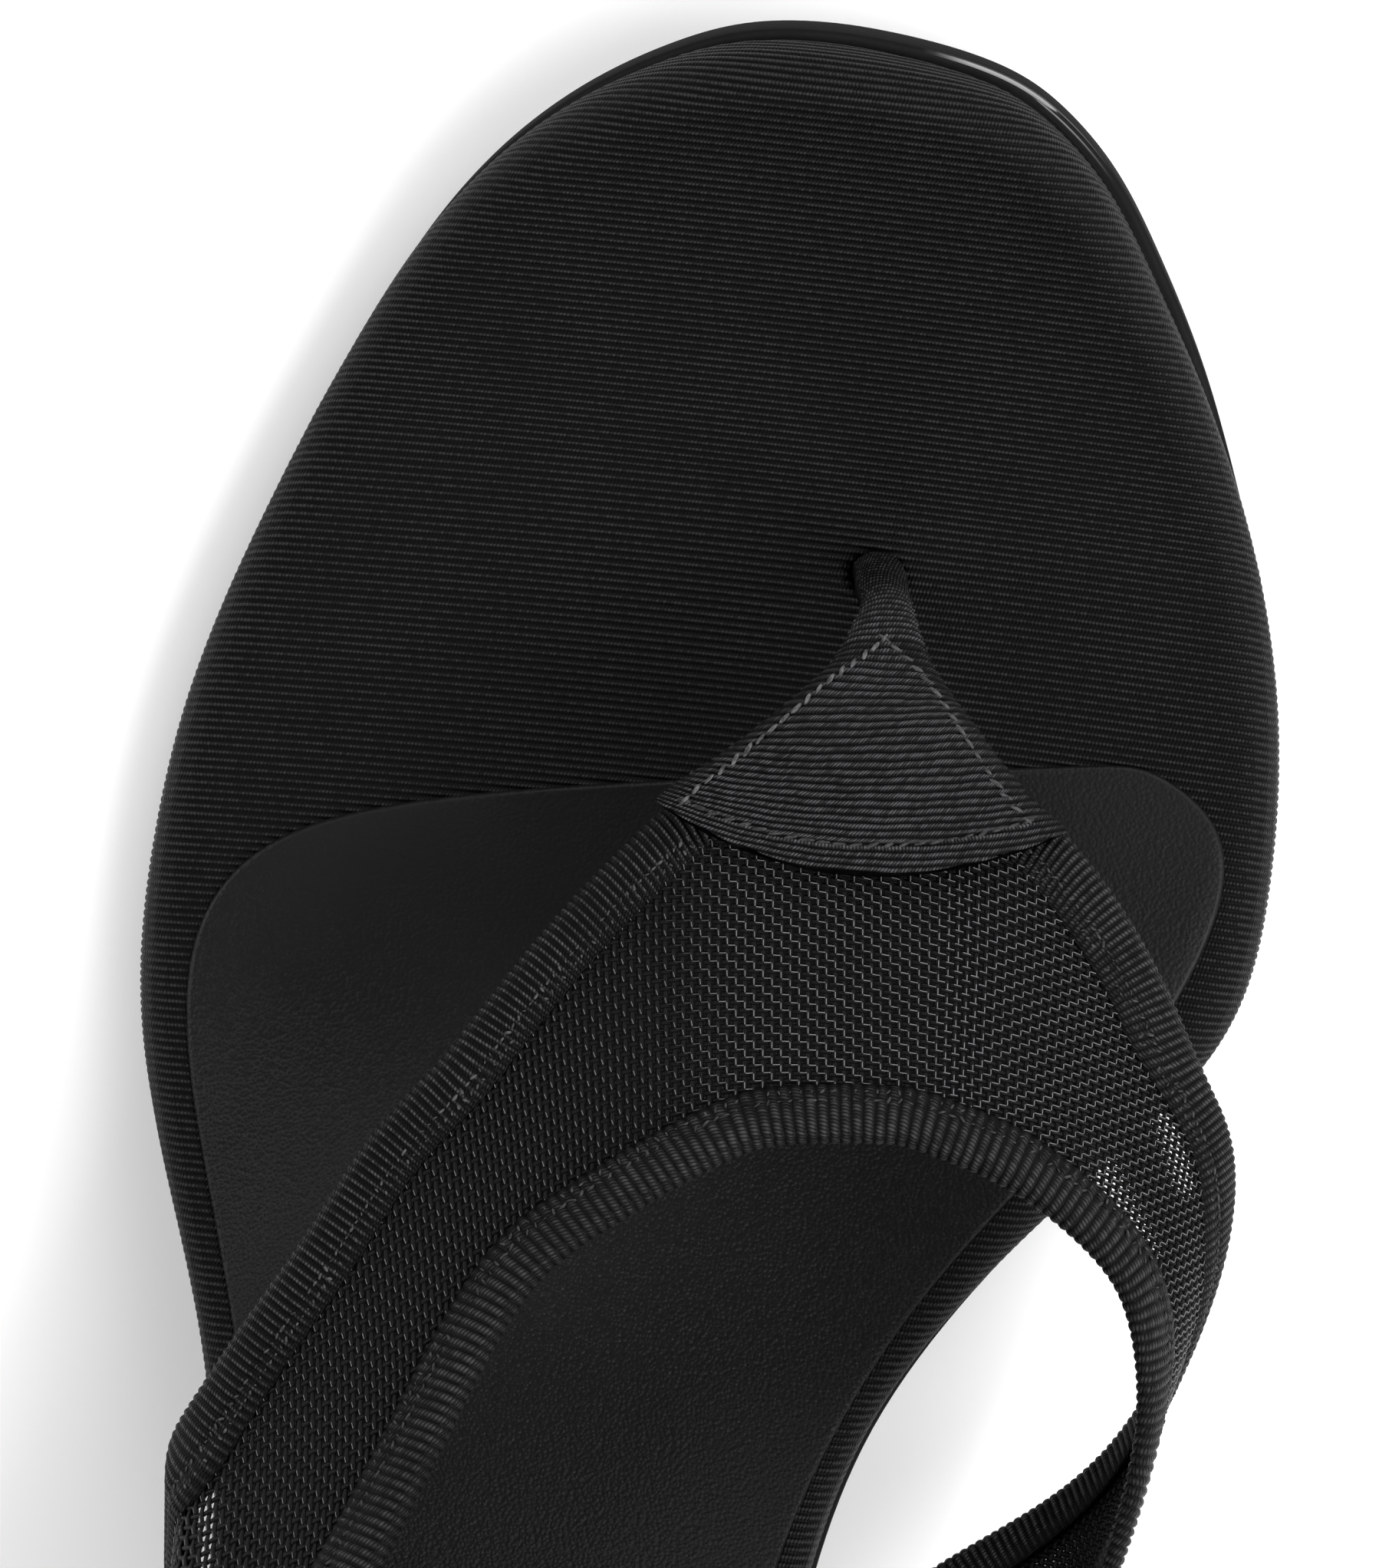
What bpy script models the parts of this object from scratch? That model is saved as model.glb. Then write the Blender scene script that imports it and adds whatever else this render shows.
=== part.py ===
"""Heeled toe post sandal, left shoe.

All sizes are in millimetres. `behind_toe` and `back` run from the toe tip towards the heel, `across` runs
towards the big-toe side and heights are above the floor. `around` is an angle on the last in degrees:
-90 is the big-toe edge of the sole, 0 the widest point of that side, 90 the crest of the instep, 180 the
widest point of the little-toe side and 270 the little-toe edge of the sole.
"""

import math

import bmesh
import bpy
import numpy as np


def table(columns, *rows):
    """Short table of sizes with named columns."""
    return dict(zip(columns.split(), np.array(rows, float).T))


MM = 0.001
SHOE_LENGTH = 238.0
MID_ACROSS = 3.0
GAP = 0.3

SOLE_PLAN = table(
    "behind_toe medial lateral",
    (0.0, 3.5, 3.5),
    (1.0, 13.8, -5.0),
    (3.4, 19.3, -10.7),
    (7.2, 23.9, -16.4),
    (13.0, 28.4, -22.2),
    (21.0, 33.4, -27.2),
    (31.0, 38.1, -31.2),
    (44.0, 42.8, -35.3),
    (60.0, 45.0, -38.8),
    (72.0, 43.0, -39.3),
    (84.0, 34.6, -37.8),
    (95.0, 27.0, -33.8),
    (105.0, 22.1, -29.5),
    (117.0, 19.5, -25.8),
    (135.0, 18.9, -23.4),
    (160.0, 20.8, -23.6),
    (190.0, 23.4, -26.6),
    (212.0, 23.5, -27.0),
    (225.0, 20.3, -23.8),
    (234.0, 11.8, -15.2),
    (238.0, -1.7, -1.7),
)
SOLE_STATIONS = 46
SOLE_COLUMNS = 4

TOE_SPRING = 8.0
TREAD_FRONT = 36.0
TREAD_BACK = 76.0
SEAT_FRONT = 186.0
SEAT_LIFT = 43.0
SEAT_SLOPE = 0.13

OUTSOLE_THICKNESS = 2.3
OUTSOLE_BEVEL = 0.6

FOOTBED_THICKNESS = 6.2
FOOTBED_INSET = 0.4
FOOTBED_SHIFT = 0.5
FOOTBED_FOOT = 0.8
RIM_FRONT = 3.6
RIM_BACK = 2.4
RIM_BLEND = (75.0, 105.0)
DISH = 0.9
DISH_BLEND = (70.0, 120.0)
DISH_END = 22.0

SOCK_PLAN = table(
    "behind_toe medial lateral",
    (51.9, 33.0, 33.0),
    (52.7, 36.3, 28.0),
    (55.0, 39.6, 17.0),
    (60.0, 41.2, -6.0),
    (66.0, 40.2, -25.8),
    (72.0, 37.9, -33.2),
    (80.0, 33.2, -34.9),
    (95.0, 23.7, -30.6),
    (117.0, 16.3, -23.0),
    (150.0, 16.3, -20.0),
    (190.0, 20.0, -23.4),
    (214.0, 19.7, -23.4),
    (228.0, 13.4, -17.0),
    (234.4, -1.8, -1.8),
)
SOCK_THICKNESS = 0.8
SOCK_STATIONS = 54
SOCK_ROUND = 0.25

HEEL_SECTIONS = table(
    "drop breast rear half_width",
    (0.0, 190.0, 236.6, 24.2),
    (0.12, 195.0, 236.0, 21.4),
    (0.35, 202.5, 233.8, 15.4),
    (0.65, 207.5, 231.2, 11.4),
    (1.0, 209.5, 229.8, 10.0),
)
HEEL_ACROSS = -1.7
HEEL_LEVELS = 9
HEEL_POINTS = 32
HEEL_CORNER = 0.4
TOP_PIECE_HEIGHT = 5.5

LAST_SECTIONS = table(
    "behind_toe medial lateral reach_height crest_across crest_height",
    (43.0, 37.0, -31.0, 13.0, 12.0, 15.0),
    (46.0, 39.0, -33.0, 14.0, 12.4, 20.6),
    (50.0, 41.0, -35.5, 15.5, 13.0, 26.0),
    (54.0, 42.5, -37.5, 17.0, 13.6, 29.1),
    (58.0, 43.7, -38.5, 18.0, 14.2, 30.6),
    (66.0, 45.0, -39.0, 19.5, 15.5, 32.9),
    (75.0, 45.0, -37.8, 21.0, 17.0, 36.0),
    (85.0, 44.8, -35.6, 23.0, 18.5, 39.5),
    (97.0, 43.0, -32.2, 25.5, 19.0, 43.5),
    (110.0, 40.8, -29.0, 28.5, 18.0, 48.5),
    (125.0, 38.2, -27.2, 33.0, 15.0, 55.0),
    (145.0, 35.5, -26.8, 40.0, 11.0, 62.0),
    (165.0, 34.0, -27.0, 46.0, 8.0, 67.0),
)
LATERAL_LEANNESS = 0.5
LATERAL_TUCK = 0.8

STRAP_SECTIONS = table(
    "front_around front_back rear_around rear_back",
    (-145.0, 119.5, -145.0, 146.0),
    (-90.0, 119.5, -90.0, 146.0),
    (-62.5, 113.0, -52.0, 137.0),
    (-33.0, 104.2, -18.0, 122.0),
    (-9.0, 93.0, 6.0, 109.0),
    (10.0, 81.0, 18.0, 101.5),
    (28.0, 74.5, 35.0, 93.3),
    (43.0, 67.8, 48.0, 88.6),
    (62.0, 57.8, 66.0, 84.5),
    (74.0, 54.5, 78.0, 82.9),
    (89.0, 51.5, 88.0, 82.3),
    (101.0, 56.5, 95.5, 83.3),
    (108.0, 61.5, 101.5, 85.4),
    (122.0, 77.0, 111.5, 92.0),
    (128.0, 83.3, 117.0, 96.3),
    (135.0, 89.3, 121.0, 101.5),
    (144.0, 97.5, 124.5, 107.5),
    (157.5, 106.0, 128.5, 115.0),
    (172.0, 111.5, 134.0, 124.0),
    (194.0, 116.0, 147.0, 134.5),
    (222.0, 121.5, 180.0, 145.0),
    (250.0, 126.5, 230.0, 153.0),
    (270.0, 130.0, 270.0, 157.5),
    (325.0, 130.0, 325.0, 157.5),
)
FLAP_PER_DEGREE = 0.1
STRAP_WALL = 0.7
STRAP_STEP = 2.5
STRAP_COLUMNS = 6
STRAP_EDGE_INSET = 1.3

POCKET_REACH = 6.6
POCKET_OUT = 6.0
POCKET_HEIGHT = 1.5
POCKET_MARGIN = 1.0
POCKET_STATIONS = 9

BINDING_WIDTH = 3.8
BINDING_HALF = 1.15
BINDING_LEAF = 0.5
BINDING_FOLD = table(
    "outer_inset inner_inset lift",
    (BINDING_WIDTH, BINDING_WIDTH, 1.0),
    (0.8, 1.1, 1.0),
    (0.2, 0.75, 0.65),
    (0.0, 0.6, 0.0),
    (0.2, 0.75, -0.65),
    (0.8, 1.1, -1.0),
    (BINDING_WIDTH, BINDING_WIDTH, -1.0),
)
BINDING_STEP = 2.5
BINDING_TOP_GAP = 0.07
BINDING_MEDIAL_END = -84.0
BINDING_LATERAL_END = 246.0

POST_SECTIONS = table(
    "across back height half_width half_depth",
    (11.2, 40.6, 3.3, 1.75, 1.4),
    (11.3, 40.7, 7.0, 1.8, 1.45),
    (11.5, 41.2, 11.5, 1.85, 1.5),
    (11.8, 42.4, 16.0, 1.95, 1.5),
)
TAB_SECTIONS = table(
    "lateral_across lateral_back medial_across medial_back sag half_depth",
    (10.3, 44.3, 14.2, 43.6, 0.0, 1.3),
    (9.3, 47.4, 15.5, 46.3, 0.1, 1.0),
    (7.7, 50.0, 17.6, 48.9, 0.3, 0.8),
    (4.8, 53.4, 19.4, 50.6, 0.8, 0.65),
    (1.9, 56.5, 21.9, 53.0, 1.7, 0.6),
    (-0.8, 59.0, 24.9, 55.6, 2.9, 0.6),
    (-2.3, 60.7, 28.2, 57.7, 4.3, 0.6),
)
TAB_ROWS = 18
TAB_COLUMNS = 12
TAB_EDGE = 0.35
TAB_MEDIAL_CORNER = 62.0
TAB_LATERAL_CORNER = 108.0
POST_ROUNDNESS = 2.0
TAB_SQUARENESS = 16.0
HOLE_ACROSS = 2.3
HOLE_FRONT = 38.8
HOLE_BACK = 43.2
HOLE_POINTS = 24

FABRIC_BLACK = (0.012, 0.012, 0.013)
LEATHER_BLACK = (0.016, 0.016, 0.017)
SOLE_BLACK = (0.01, 0.01, 0.01)
RUBBER_BLACK = (0.02, 0.02, 0.02)


def curve(keys, values):
    """Smooth curve through the rows of a table, straight at both ends."""
    count = len(keys)
    step = np.diff(keys)
    rise = np.diff(values) / step
    rows = np.eye(count)
    right = np.zeros(count)
    for i in range(1, count - 1):
        rows[i, i - 1 : i + 2] = step[i - 1], 2.0 * (step[i - 1] + step[i]), step[i]
        right[i] = 6.0 * (rise[i] - rise[i - 1])
    bend = np.linalg.solve(rows, right)

    def at(key):
        key = np.asarray(key, float)
        i = np.clip(np.searchsorted(keys, key) - 1, 0, count - 2)
        run = key - keys[i]
        slope = rise[i] - step[i] * (2.0 * bend[i] + bend[i + 1]) / 6.0
        cubic = (bend[i + 1] - bend[i]) / (6.0 * step[i])
        return values[i] + run * (slope + run * (bend[i] / 2.0 + run * cubic))

    return at


def ease(value, start, end):
    """Soft step from 0 at start to 1 at end."""
    t = np.clip((value - start) / (end - start), 0.0, 1.0)
    return t * t * (3.0 - 2.0 * t)


class Plan:
    """Closed outline seen from above, round at both ends."""

    def __init__(self, rows, inset=0.0, shift=0.0):
        self.front = rows["behind_toe"][0]
        self.length = rows["behind_toe"][-1] - self.front
        turns = self.turn(rows["behind_toe"])
        self.sides = [curve(turns, rows["medial"]), curve(turns, rows["lateral"])]
        self.inset = inset
        self.shift = shift

    def turn(self, back):
        """Angle that opens out the blunt ends."""
        return np.arccos(1.0 - 2.0 * np.clip((back - self.front) / self.length, 0.0, 1.0))

    def across(self, back, medial):
        """Edge of the outline at a distance behind the toe."""
        turn = self.turn(np.asarray(back, float))
        return np.where(medial, self.sides[0](turn), self.sides[1](turn))

    def rim(self, backs):
        """Points round the outline with their outward directions, in pairs at the same station."""
        turns = self.turn(backs)
        step = 1e-4
        sides = []
        for side, sign in zip(self.sides, (1.0, -1.0)):
            grow = (side(turns + step) - side(turns - step)) / (2.0 * step)
            along = self.length * np.sin(turns) / 2.0
            size = np.hypot(grow, along)
            sides.append(np.array([side(turns), backs, sign * along / size, -sign * grow / size]))
        medial, lateral = sides
        medial[2:, 0] = 0.0, -1.0
        medial[2:, -1] = 0.0, 1.0
        ring = np.concatenate([medial, lateral[:, -2:0:-1]], axis=1)
        ring[:2] -= self.inset * ring[2:]
        ring[0] -= self.shift
        return ring

    def stations(self, count, marks=()):
        """Stations from front to back, close together at the round ends, with some set exactly."""
        backs = self.front + self.length * (1.0 - np.cos(np.linspace(0.0, math.pi, count + 1))) / 2.0
        for mark in marks:
            backs[np.argmin(np.abs(backs - mark))] = mark
        return backs


OUTLINE = Plan(SOLE_PLAN)
BED_PLAN = Plan(SOLE_PLAN, FOOTBED_INSET, FOOTBED_SHIFT)
SOCK_OUTLINE = Plan(SOCK_PLAN)
LAST_CURVES = {name: curve(LAST_SECTIONS["behind_toe"], LAST_SECTIONS[name]) for name in LAST_SECTIONS}
STRAP_ROWS = np.arange(len(STRAP_SECTIONS["front_around"]), dtype=float)
STRAP_CURVES = {name: curve(STRAP_ROWS, STRAP_SECTIONS[name]) for name in STRAP_SECTIONS}
HEEL_CURVES = {name: curve(HEEL_SECTIONS["drop"], HEEL_SECTIONS[name]) for name in HEEL_SECTIONS}


def tread(back):
    """Height of the underside of the sole: toe spring, flat tread, rise of the waist and sloping seat."""
    spring = TOE_SPRING * np.clip(1.0 - back / TREAD_FRONT, 0.0, None) ** 2
    span = SEAT_FRONT - TREAD_BACK
    t = np.clip((back - TREAD_BACK) / span, 0.0, 1.0)
    waist = SEAT_LIFT * t * t * (3.0 - 2.0 * t) + SEAT_SLOPE * span * t * t * (t - 1.0)
    return spring + waist + SEAT_SLOPE * np.clip(back - SEAT_FRONT, 0.0, None)


def toe_lean(back):
    """How far each millimetre of thickness leans back over the toe spring."""
    return 2.0 * TOE_SPRING / TREAD_FRONT * np.clip(1.0 - back / TREAD_FRONT, 0.0, None)


def rim_radius(back):
    """Radius of the round top edge of the footbed."""
    return RIM_FRONT + (RIM_BACK - RIM_FRONT) * ease(back, *RIM_BLEND)


def bed_height(across, back):
    """Height of the top of the footbed above its own underside, dished under the arch and heel."""
    edges = [OUTLINE.across(back, side) for side in (True, False)]
    middle = (edges[0] + edges[1]) / 2.0
    half = np.maximum((edges[0] - edges[1]) / 2.0 - rim_radius(back), 1.0)
    share = np.clip((across - middle) / half, -1.0, 1.0)
    fade = ease(back, *DISH_BLEND) * ease(SHOE_LENGTH - back, 0.0, DISH_END)
    return FOOTBED_THICKNESS - DISH * fade * (1.0 - share**2)


def bed_level(across, back):
    """Height of the footbed's underside above the tread."""
    return np.full_like(across, OUTSOLE_THICKNESS + GAP)


def bed_top(across, back):
    """Height of the footbed's top above the tread."""
    return bed_level(across, back) + bed_height(across, back)


def on_sole(across, back, height):
    """Point at a height above the tread, leaning with the toe spring."""
    return np.stack([across, back + toe_lean(back) * height, tread(back) + height], axis=-1)


def lean_rise(rise):
    """Flatter shoulder of the last on the little-toe side."""
    return rise * (1.0 - LATERAL_LEANNESS * (1.0 - rise))


def last_point(back, around):
    """Point on the last."""
    back, around = np.broadcast_arrays(np.asarray(back, float), np.asarray(around, float))
    part = {name: at(back) for name, at in LAST_CURVES.items()}
    medial = around <= 90.0
    reach = np.where(medial, part["medial"], part["lateral"])
    edge = OUTLINE.across(back, medial)
    feather = tread(back) + OUTSOLE_THICKNESS + GAP + STRAP_WALL / 2.0
    angle = np.radians(around)
    side = np.abs(np.cos(angle))
    rise = np.abs(np.sin(angle))
    over = np.where(medial, rise, lean_rise(rise))
    under = np.where(medial, side, side * (1.0 + LATERAL_TUCK * (1.0 - side)))
    crest = part["crest_across"]
    top = np.stack(
        [
            crest + (reach - crest) * side,
            back,
            part["reach_height"] + (part["crest_height"] - part["reach_height"]) * over,
        ],
        axis=-1,
    )
    low = np.stack(
        [
            edge + (reach - edge) * under,
            back,
            part["reach_height"] - (part["reach_height"] - feather) * rise,
        ],
        axis=-1,
    )
    inward = np.where(medial, -90.0 - around, around - 270.0) * FLAP_PER_DEGREE
    flap = np.stack([edge - np.where(medial, inward, -inward), back, feather], axis=-1)
    upper = (around >= 0.0) & (around <= 180.0)
    point = np.where(upper[..., None], top, low)
    return np.where((inward > 0.0)[..., None], flap, point)


def last_height(across, back):
    """Height of the last over the instep at a point seen from above."""
    part = {name: at(back) for name, at in LAST_CURVES.items()}
    medial = across >= part["crest_across"]
    reach = np.where(medial, part["medial"], part["lateral"])
    share = np.clip((across - part["crest_across"]) / (reach - part["crest_across"]), 0.0, 1.0)
    rise = np.sqrt(1.0 - share**2)
    over = np.where(medial, rise, lean_rise(rise))
    return part["reach_height"] + (part["crest_height"] - part["reach_height"]) * over


def strap_point(row, cross):
    """Point on the middle of the strap: row along it, cross from its front edge (0) to its rear edge (1)."""
    part = {name: at(row) for name, at in STRAP_CURVES.items()}
    around = part["front_around"] + (part["rear_around"] - part["front_around"]) * cross
    back = part["front_back"] + (part["rear_back"] - part["front_back"]) * cross
    return last_point(back, around)


def strap_frame(row, cross):
    """Strap point with its outward normal."""
    step = 0.004
    point = strap_point(row, cross)
    along = strap_point(row + step, cross) - strap_point(row - step, cross)
    over = strap_point(row, cross + step) - strap_point(row, cross - step)
    normal = np.cross(over, along)
    return point, normal / np.linalg.norm(normal, axis=-1, keepdims=True)


def strap_rows(first, last, spacing, cross):
    """Rows along one line of the strap at an even spacing."""
    fine = np.linspace(first, last, 600)
    points = strap_point(fine, np.full_like(fine, cross))
    run = np.concatenate([[0.0], np.cumsum(np.linalg.norm(np.diff(points, axis=0), axis=1))])
    count = max(int(round(run[-1] / spacing)), 2)
    return np.interp(np.linspace(0.0, run[-1], count + 1), run, fine)


def row_at(column, around):
    """Strap row at which an edge reaches an angle round the last."""
    fine = np.linspace(0.0, STRAP_ROWS[-1], 4000)
    return np.interp(around, STRAP_CURVES[column](fine), fine)


def material(name, colour, roughness):
    """Plain surface of one colour."""
    made = bpy.data.materials.new(name)
    made.use_nodes = True
    shader = made.node_tree.nodes["Principled BSDF"]
    shader.inputs["Base Color"].default_value = (*colour, 1.0)
    shader.inputs["Roughness"].default_value = roughness
    shader.inputs["Metallic"].default_value = 0.0
    made.diffuse_color = (*colour, 1.0)
    return made


def piece(name, points, faces, surface, root):
    """Closed named object from points in millimetres, hung on the root."""
    points = np.asarray(points)
    placed = np.stack(
        [points[:, 0] - MID_ACROSS, SHOE_LENGTH / 2.0 - points[:, 1], points[:, 2]], axis=1
    )
    mesh = bpy.data.meshes.new(name)
    mesh.from_pydata((placed * MM).tolist(), [], faces)
    work = bmesh.new()
    work.from_mesh(mesh)
    bmesh.ops.recalc_face_normals(work, faces=work.faces)
    work.to_mesh(mesh)
    work.free()
    mesh.shade_smooth()
    mesh.set_sharp_from_angle(angle=math.radians(40.0))
    made = bpy.data.objects.new(name, mesh)
    bpy.context.scene.collection.objects.link(made)
    made.parent = root
    if surface is not None:
        mesh.materials.append(surface)
    return made


def slab(name, ring, rings, belly, crown, surface, root):
    """Flat-lying solid: rings round its edge from the underside to the top, rows across between them.

    Each ring gives an inset and a height above the belly. Belly and crown give heights above the tread.
    """
    count = ring.shape[1]
    half = count // 2
    points = []
    flat = []
    for inset, rise in rings:
        across = ring[0] - inset * ring[2]
        back = ring[1] - inset * ring[3]
        flat.append((across, back))
        points.extend(on_sole(across, back, belly(across, back) + rise))
    faces = []
    for level in range(len(rings) - 1):
        for i in range(count):
            j = (i + 1) % count
            low, high = level * count, (level + 1) * count
            faces.append((low + i, low + j, high + j, high + i))
    shares = np.linspace(0.0, 1.0, SOLE_COLUMNS + 1)[1:-1]
    for level, height in ((0, belly), (len(rings) - 1, crown)):
        across, back = flat[level]
        start = level * count
        rows = []
        for j in range(1, half):
            k = count - j
            inner_across = across[j] + (across[k] - across[j]) * shares
            inner_back = back[j] + (back[k] - back[j]) * shares
            first = len(points)
            points.extend(on_sole(inner_across, inner_back, height(inner_across, inner_back)))
            rows.append([start + j, *range(first, first + len(shares)), start + k])
        for before, after in zip(rows, rows[1:]):
            for c in range(SOLE_COLUMNS):
                faces.append((before[c], before[c + 1], after[c + 1], after[c]))
        for c in range(SOLE_COLUMNS):
            faces.append((start, rows[0][c + 1], rows[0][c]))
            faces.append((start + half, rows[-1][c], rows[-1][c + 1]))
    return piece(name, points, faces, surface, root)


def wall(name, outer, inner, surface, root):
    """Solid between two nets of points: rows along it, the same columns on both faces."""
    outer, inner = np.asarray(outer), np.asarray(inner)
    rows, columns = outer.shape[:2]
    points = np.concatenate([outer.reshape(-1, 3), inner.reshape(-1, 3)])
    other = rows * columns
    faces = []
    for r in range(rows - 1):
        for c in range(columns - 1):
            a = r * columns + c
            quad = (a, a + 1, a + columns + 1, a + columns)
            faces.append(quad)
            faces.append(tuple(other + i for i in reversed(quad)))
        for c in (0, columns - 1):
            a = r * columns + c
            faces.append((a, a + columns, other + a + columns, other + a))
    for r in (0, rows - 1):
        for c in range(columns - 1):
            a = r * columns + c
            faces.append((a, a + 1, other + a + 1, other + a))
    return piece(name, points, faces, surface, root)


def column_solid(name, loops, surface, root):
    """Solid through a stack of closed loops with flat ends."""
    loops = np.asarray(loops)
    levels, count = loops.shape[:2]
    faces = [tuple(range(count)), tuple(range((levels - 1) * count, levels * count))]
    for level in range(levels - 1):
        for i in range(count):
            j = (i + 1) % count
            low, high = level * count, (level + 1) * count
            faces.append((low + i, low + j, high + j, high + i))
    return piece(name, loops.reshape(-1, 3), faces, surface, root)


def cut(target, cutter):
    """Takes a hidden cutter out of a piece."""
    cutter.hide_render = True
    cutter.display_type = "WIRE"
    step = target.modifiers.new(cutter.name, "BOOLEAN")
    step.operation = "DIFFERENCE"
    step.solver = "EXACT"
    step.object = cutter


def build_outsole(surface, root):
    ring = OUTLINE.rim(OUTLINE.stations(SOLE_STATIONS, (TREAD_FRONT, TREAD_BACK)))
    rings = [
        (OUTSOLE_BEVEL, 0.0),
        (0.0, OUTSOLE_BEVEL),
        (0.0, OUTSOLE_THICKNESS - OUTSOLE_BEVEL / 2.0),
        (OUTSOLE_BEVEL / 2.0, OUTSOLE_THICKNESS),
    ]
    return slab(
        "outsole",
        ring,
        rings,
        lambda across, back: np.zeros_like(across),
        lambda across, back: np.full_like(across, OUTSOLE_THICKNESS),
        surface,
        root,
    )


def build_footbed(surface, root):
    ring = BED_PLAN.rim(OUTLINE.stations(SOLE_STATIONS, (TREAD_FRONT, TREAD_BACK)))
    radius = rim_radius(ring[1])
    rings = [(FOOTBED_FOOT, 0.0), (FOOTBED_FOOT / 4.0, FOOTBED_FOOT * 0.6), (0.0, FOOTBED_FOOT * 1.6)]
    for turn in np.radians((0.0, 25.0, 50.0, 70.0, 90.0)):
        drop = radius * (1.0 - math.sin(turn))
        rings.append((radius * (1.0 - math.cos(turn)), FOOTBED_THICKNESS - drop))
    made = slab("footbed", ring, rings, bed_level, bed_top, surface, root)
    turns = np.linspace(0.0, 2.0 * math.pi, HOLE_POINTS, endpoint=False)
    middle = (HOLE_FRONT + HOLE_BACK) / 2.0
    across = POST_SECTIONS["across"][1] + HOLE_ACROSS * np.cos(turns)
    back = middle + (HOLE_BACK - middle) * np.sin(turns)
    reach = 2.0 * (OUTSOLE_THICKNESS + FOOTBED_THICKNESS)
    loops = [np.stack([across, back, np.full_like(back, height)], axis=1) for height in (0.0, reach)]
    cut(made, column_solid("post_hole_cutter", loops, None, root))
    for name, row, medial in (("medial_pocket_cutter", 1, True), ("lateral_pocket_cutter", -2, False)):
        front = STRAP_SECTIONS["front_back"][row] - POCKET_MARGIN
        rear = STRAP_SECTIONS["rear_back"][row] + POCKET_MARGIN
        backs = np.linspace(front, rear, POCKET_STATIONS)
        edge = OUTLINE.across(backs, medial)
        inward = -1.0 if medial else 1.0
        ends = np.stack([edge + inward * POCKET_REACH, edge - inward * POCKET_OUT], axis=1)
        both = np.repeat(backs[:, None], 2, axis=1)
        floor = tread(both) + OUTSOLE_THICKNESS
        upper = np.stack([ends, both, floor + POCKET_HEIGHT], axis=-1)
        lower = np.stack([ends, both, floor - POCKET_HEIGHT], axis=-1)
        cut(made, wall(name, upper, lower, None, root))
    return made


def build_sock(surface, root):
    ring = SOCK_OUTLINE.rim(SOCK_OUTLINE.stations(SOCK_STATIONS))

    def belly(across, back):
        return bed_top(across, back) + GAP

    def crown(across, back):
        return belly(across, back) + SOCK_THICKNESS

    rings = [
        (0.0, 0.0),
        (0.0, SOCK_THICKNESS - SOCK_ROUND),
        (SOCK_ROUND, SOCK_THICKNESS),
    ]
    return slab("insole_sock", ring, rings, belly, crown, surface, root)


def heel_loop(drop):
    """Plan of the heel block at a share of its drop: square breast, round back."""
    turns = np.linspace(0.0, 2.0 * math.pi, HEEL_POINTS, endpoint=False)
    part = {name: float(at(drop)) for name, at in HEEL_CURVES.items()}
    middle = (part["breast"] + part["rear"]) / 2.0
    depth = (part["rear"] - part["breast"]) / 2.0
    side, run = np.cos(turns), np.sin(turns)
    square = np.where(run < 0.0, HEEL_CORNER, 1.0)
    across = HEEL_ACROSS + part["half_width"] * np.sign(side) * np.abs(side) ** square
    return across, middle + depth * np.sign(run) * np.abs(run) ** square


def build_heel(surface, root):
    seat = tread(heel_loop(0.0)[1]) - GAP
    loops = []
    for drop in np.linspace(0.0, 1.0, HEEL_LEVELS) ** 1.5:
        across, back = heel_loop(drop)
        height = seat * (1.0 - drop) + (TOP_PIECE_HEIGHT + GAP) * drop
        loops.append(np.stack([across, back, height], axis=1))
    return column_solid("heel", loops, surface, root)


def build_top_piece(surface, root):
    across, back = heel_loop(1.0)
    heights = (0.0, TOP_PIECE_HEIGHT)
    loops = [np.stack([across, back, np.full_like(back, height)], axis=1) for height in heights]
    return column_solid("heel_top_piece", loops, surface, root)


def build_strap(surface, root):
    rows = strap_rows(STRAP_ROWS[0], STRAP_ROWS[-1], STRAP_STEP, 0.5)
    ends = edge_share(rows, 0.0, STRAP_EDGE_INSET), edge_share(rows, 1.0, STRAP_EDGE_INSET)
    shares = np.linspace(0.0, 1.0, STRAP_COLUMNS + 1)
    cross = ends[0][:, None] + (ends[1] - ends[0])[:, None] * shares
    point, normal = strap_frame(np.repeat(rows[:, None], STRAP_COLUMNS + 1, axis=1), cross)
    half = STRAP_WALL / 2.0
    return wall("strap_upper", point + half * normal, point - half * normal, surface, root)


def edge_share(rows, edge, inset):
    """Cross share that lies an inset in from one edge of the strap, measured square to that edge."""
    step = 0.02
    sign = 1.0 - 2.0 * edge
    line = np.full_like(rows, edge)
    over = (strap_point(rows, line + sign * step) - strap_point(rows, line)) / step
    along = strap_point(rows + step, line) - strap_point(rows - step, line)
    along /= np.linalg.norm(along, axis=-1, keepdims=True)
    square = over - np.sum(over * along, axis=-1, keepdims=True) * along
    return edge + sign * inset / np.linalg.norm(square, axis=-1)


def build_binding(name, first, last, edge, surface, root):
    """Tape folded over one edge of the strap, its two leaves on either face."""
    rows = strap_rows(first, last, BINDING_STEP, edge)
    nets = []
    for side, half in (("outer_inset", BINDING_HALF), ("inner_inset", BINDING_HALF - BINDING_LEAF)):
        net = []
        for inset, lift in zip(BINDING_FOLD[side], BINDING_FOLD["lift"]):
            point, normal = strap_frame(rows, edge_share(rows, edge, inset))
            net.append(point + lift * half * normal)
        nets.append(np.stack(net, axis=1))
    return wall(name, nets[0], nets[1], surface, root)


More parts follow.
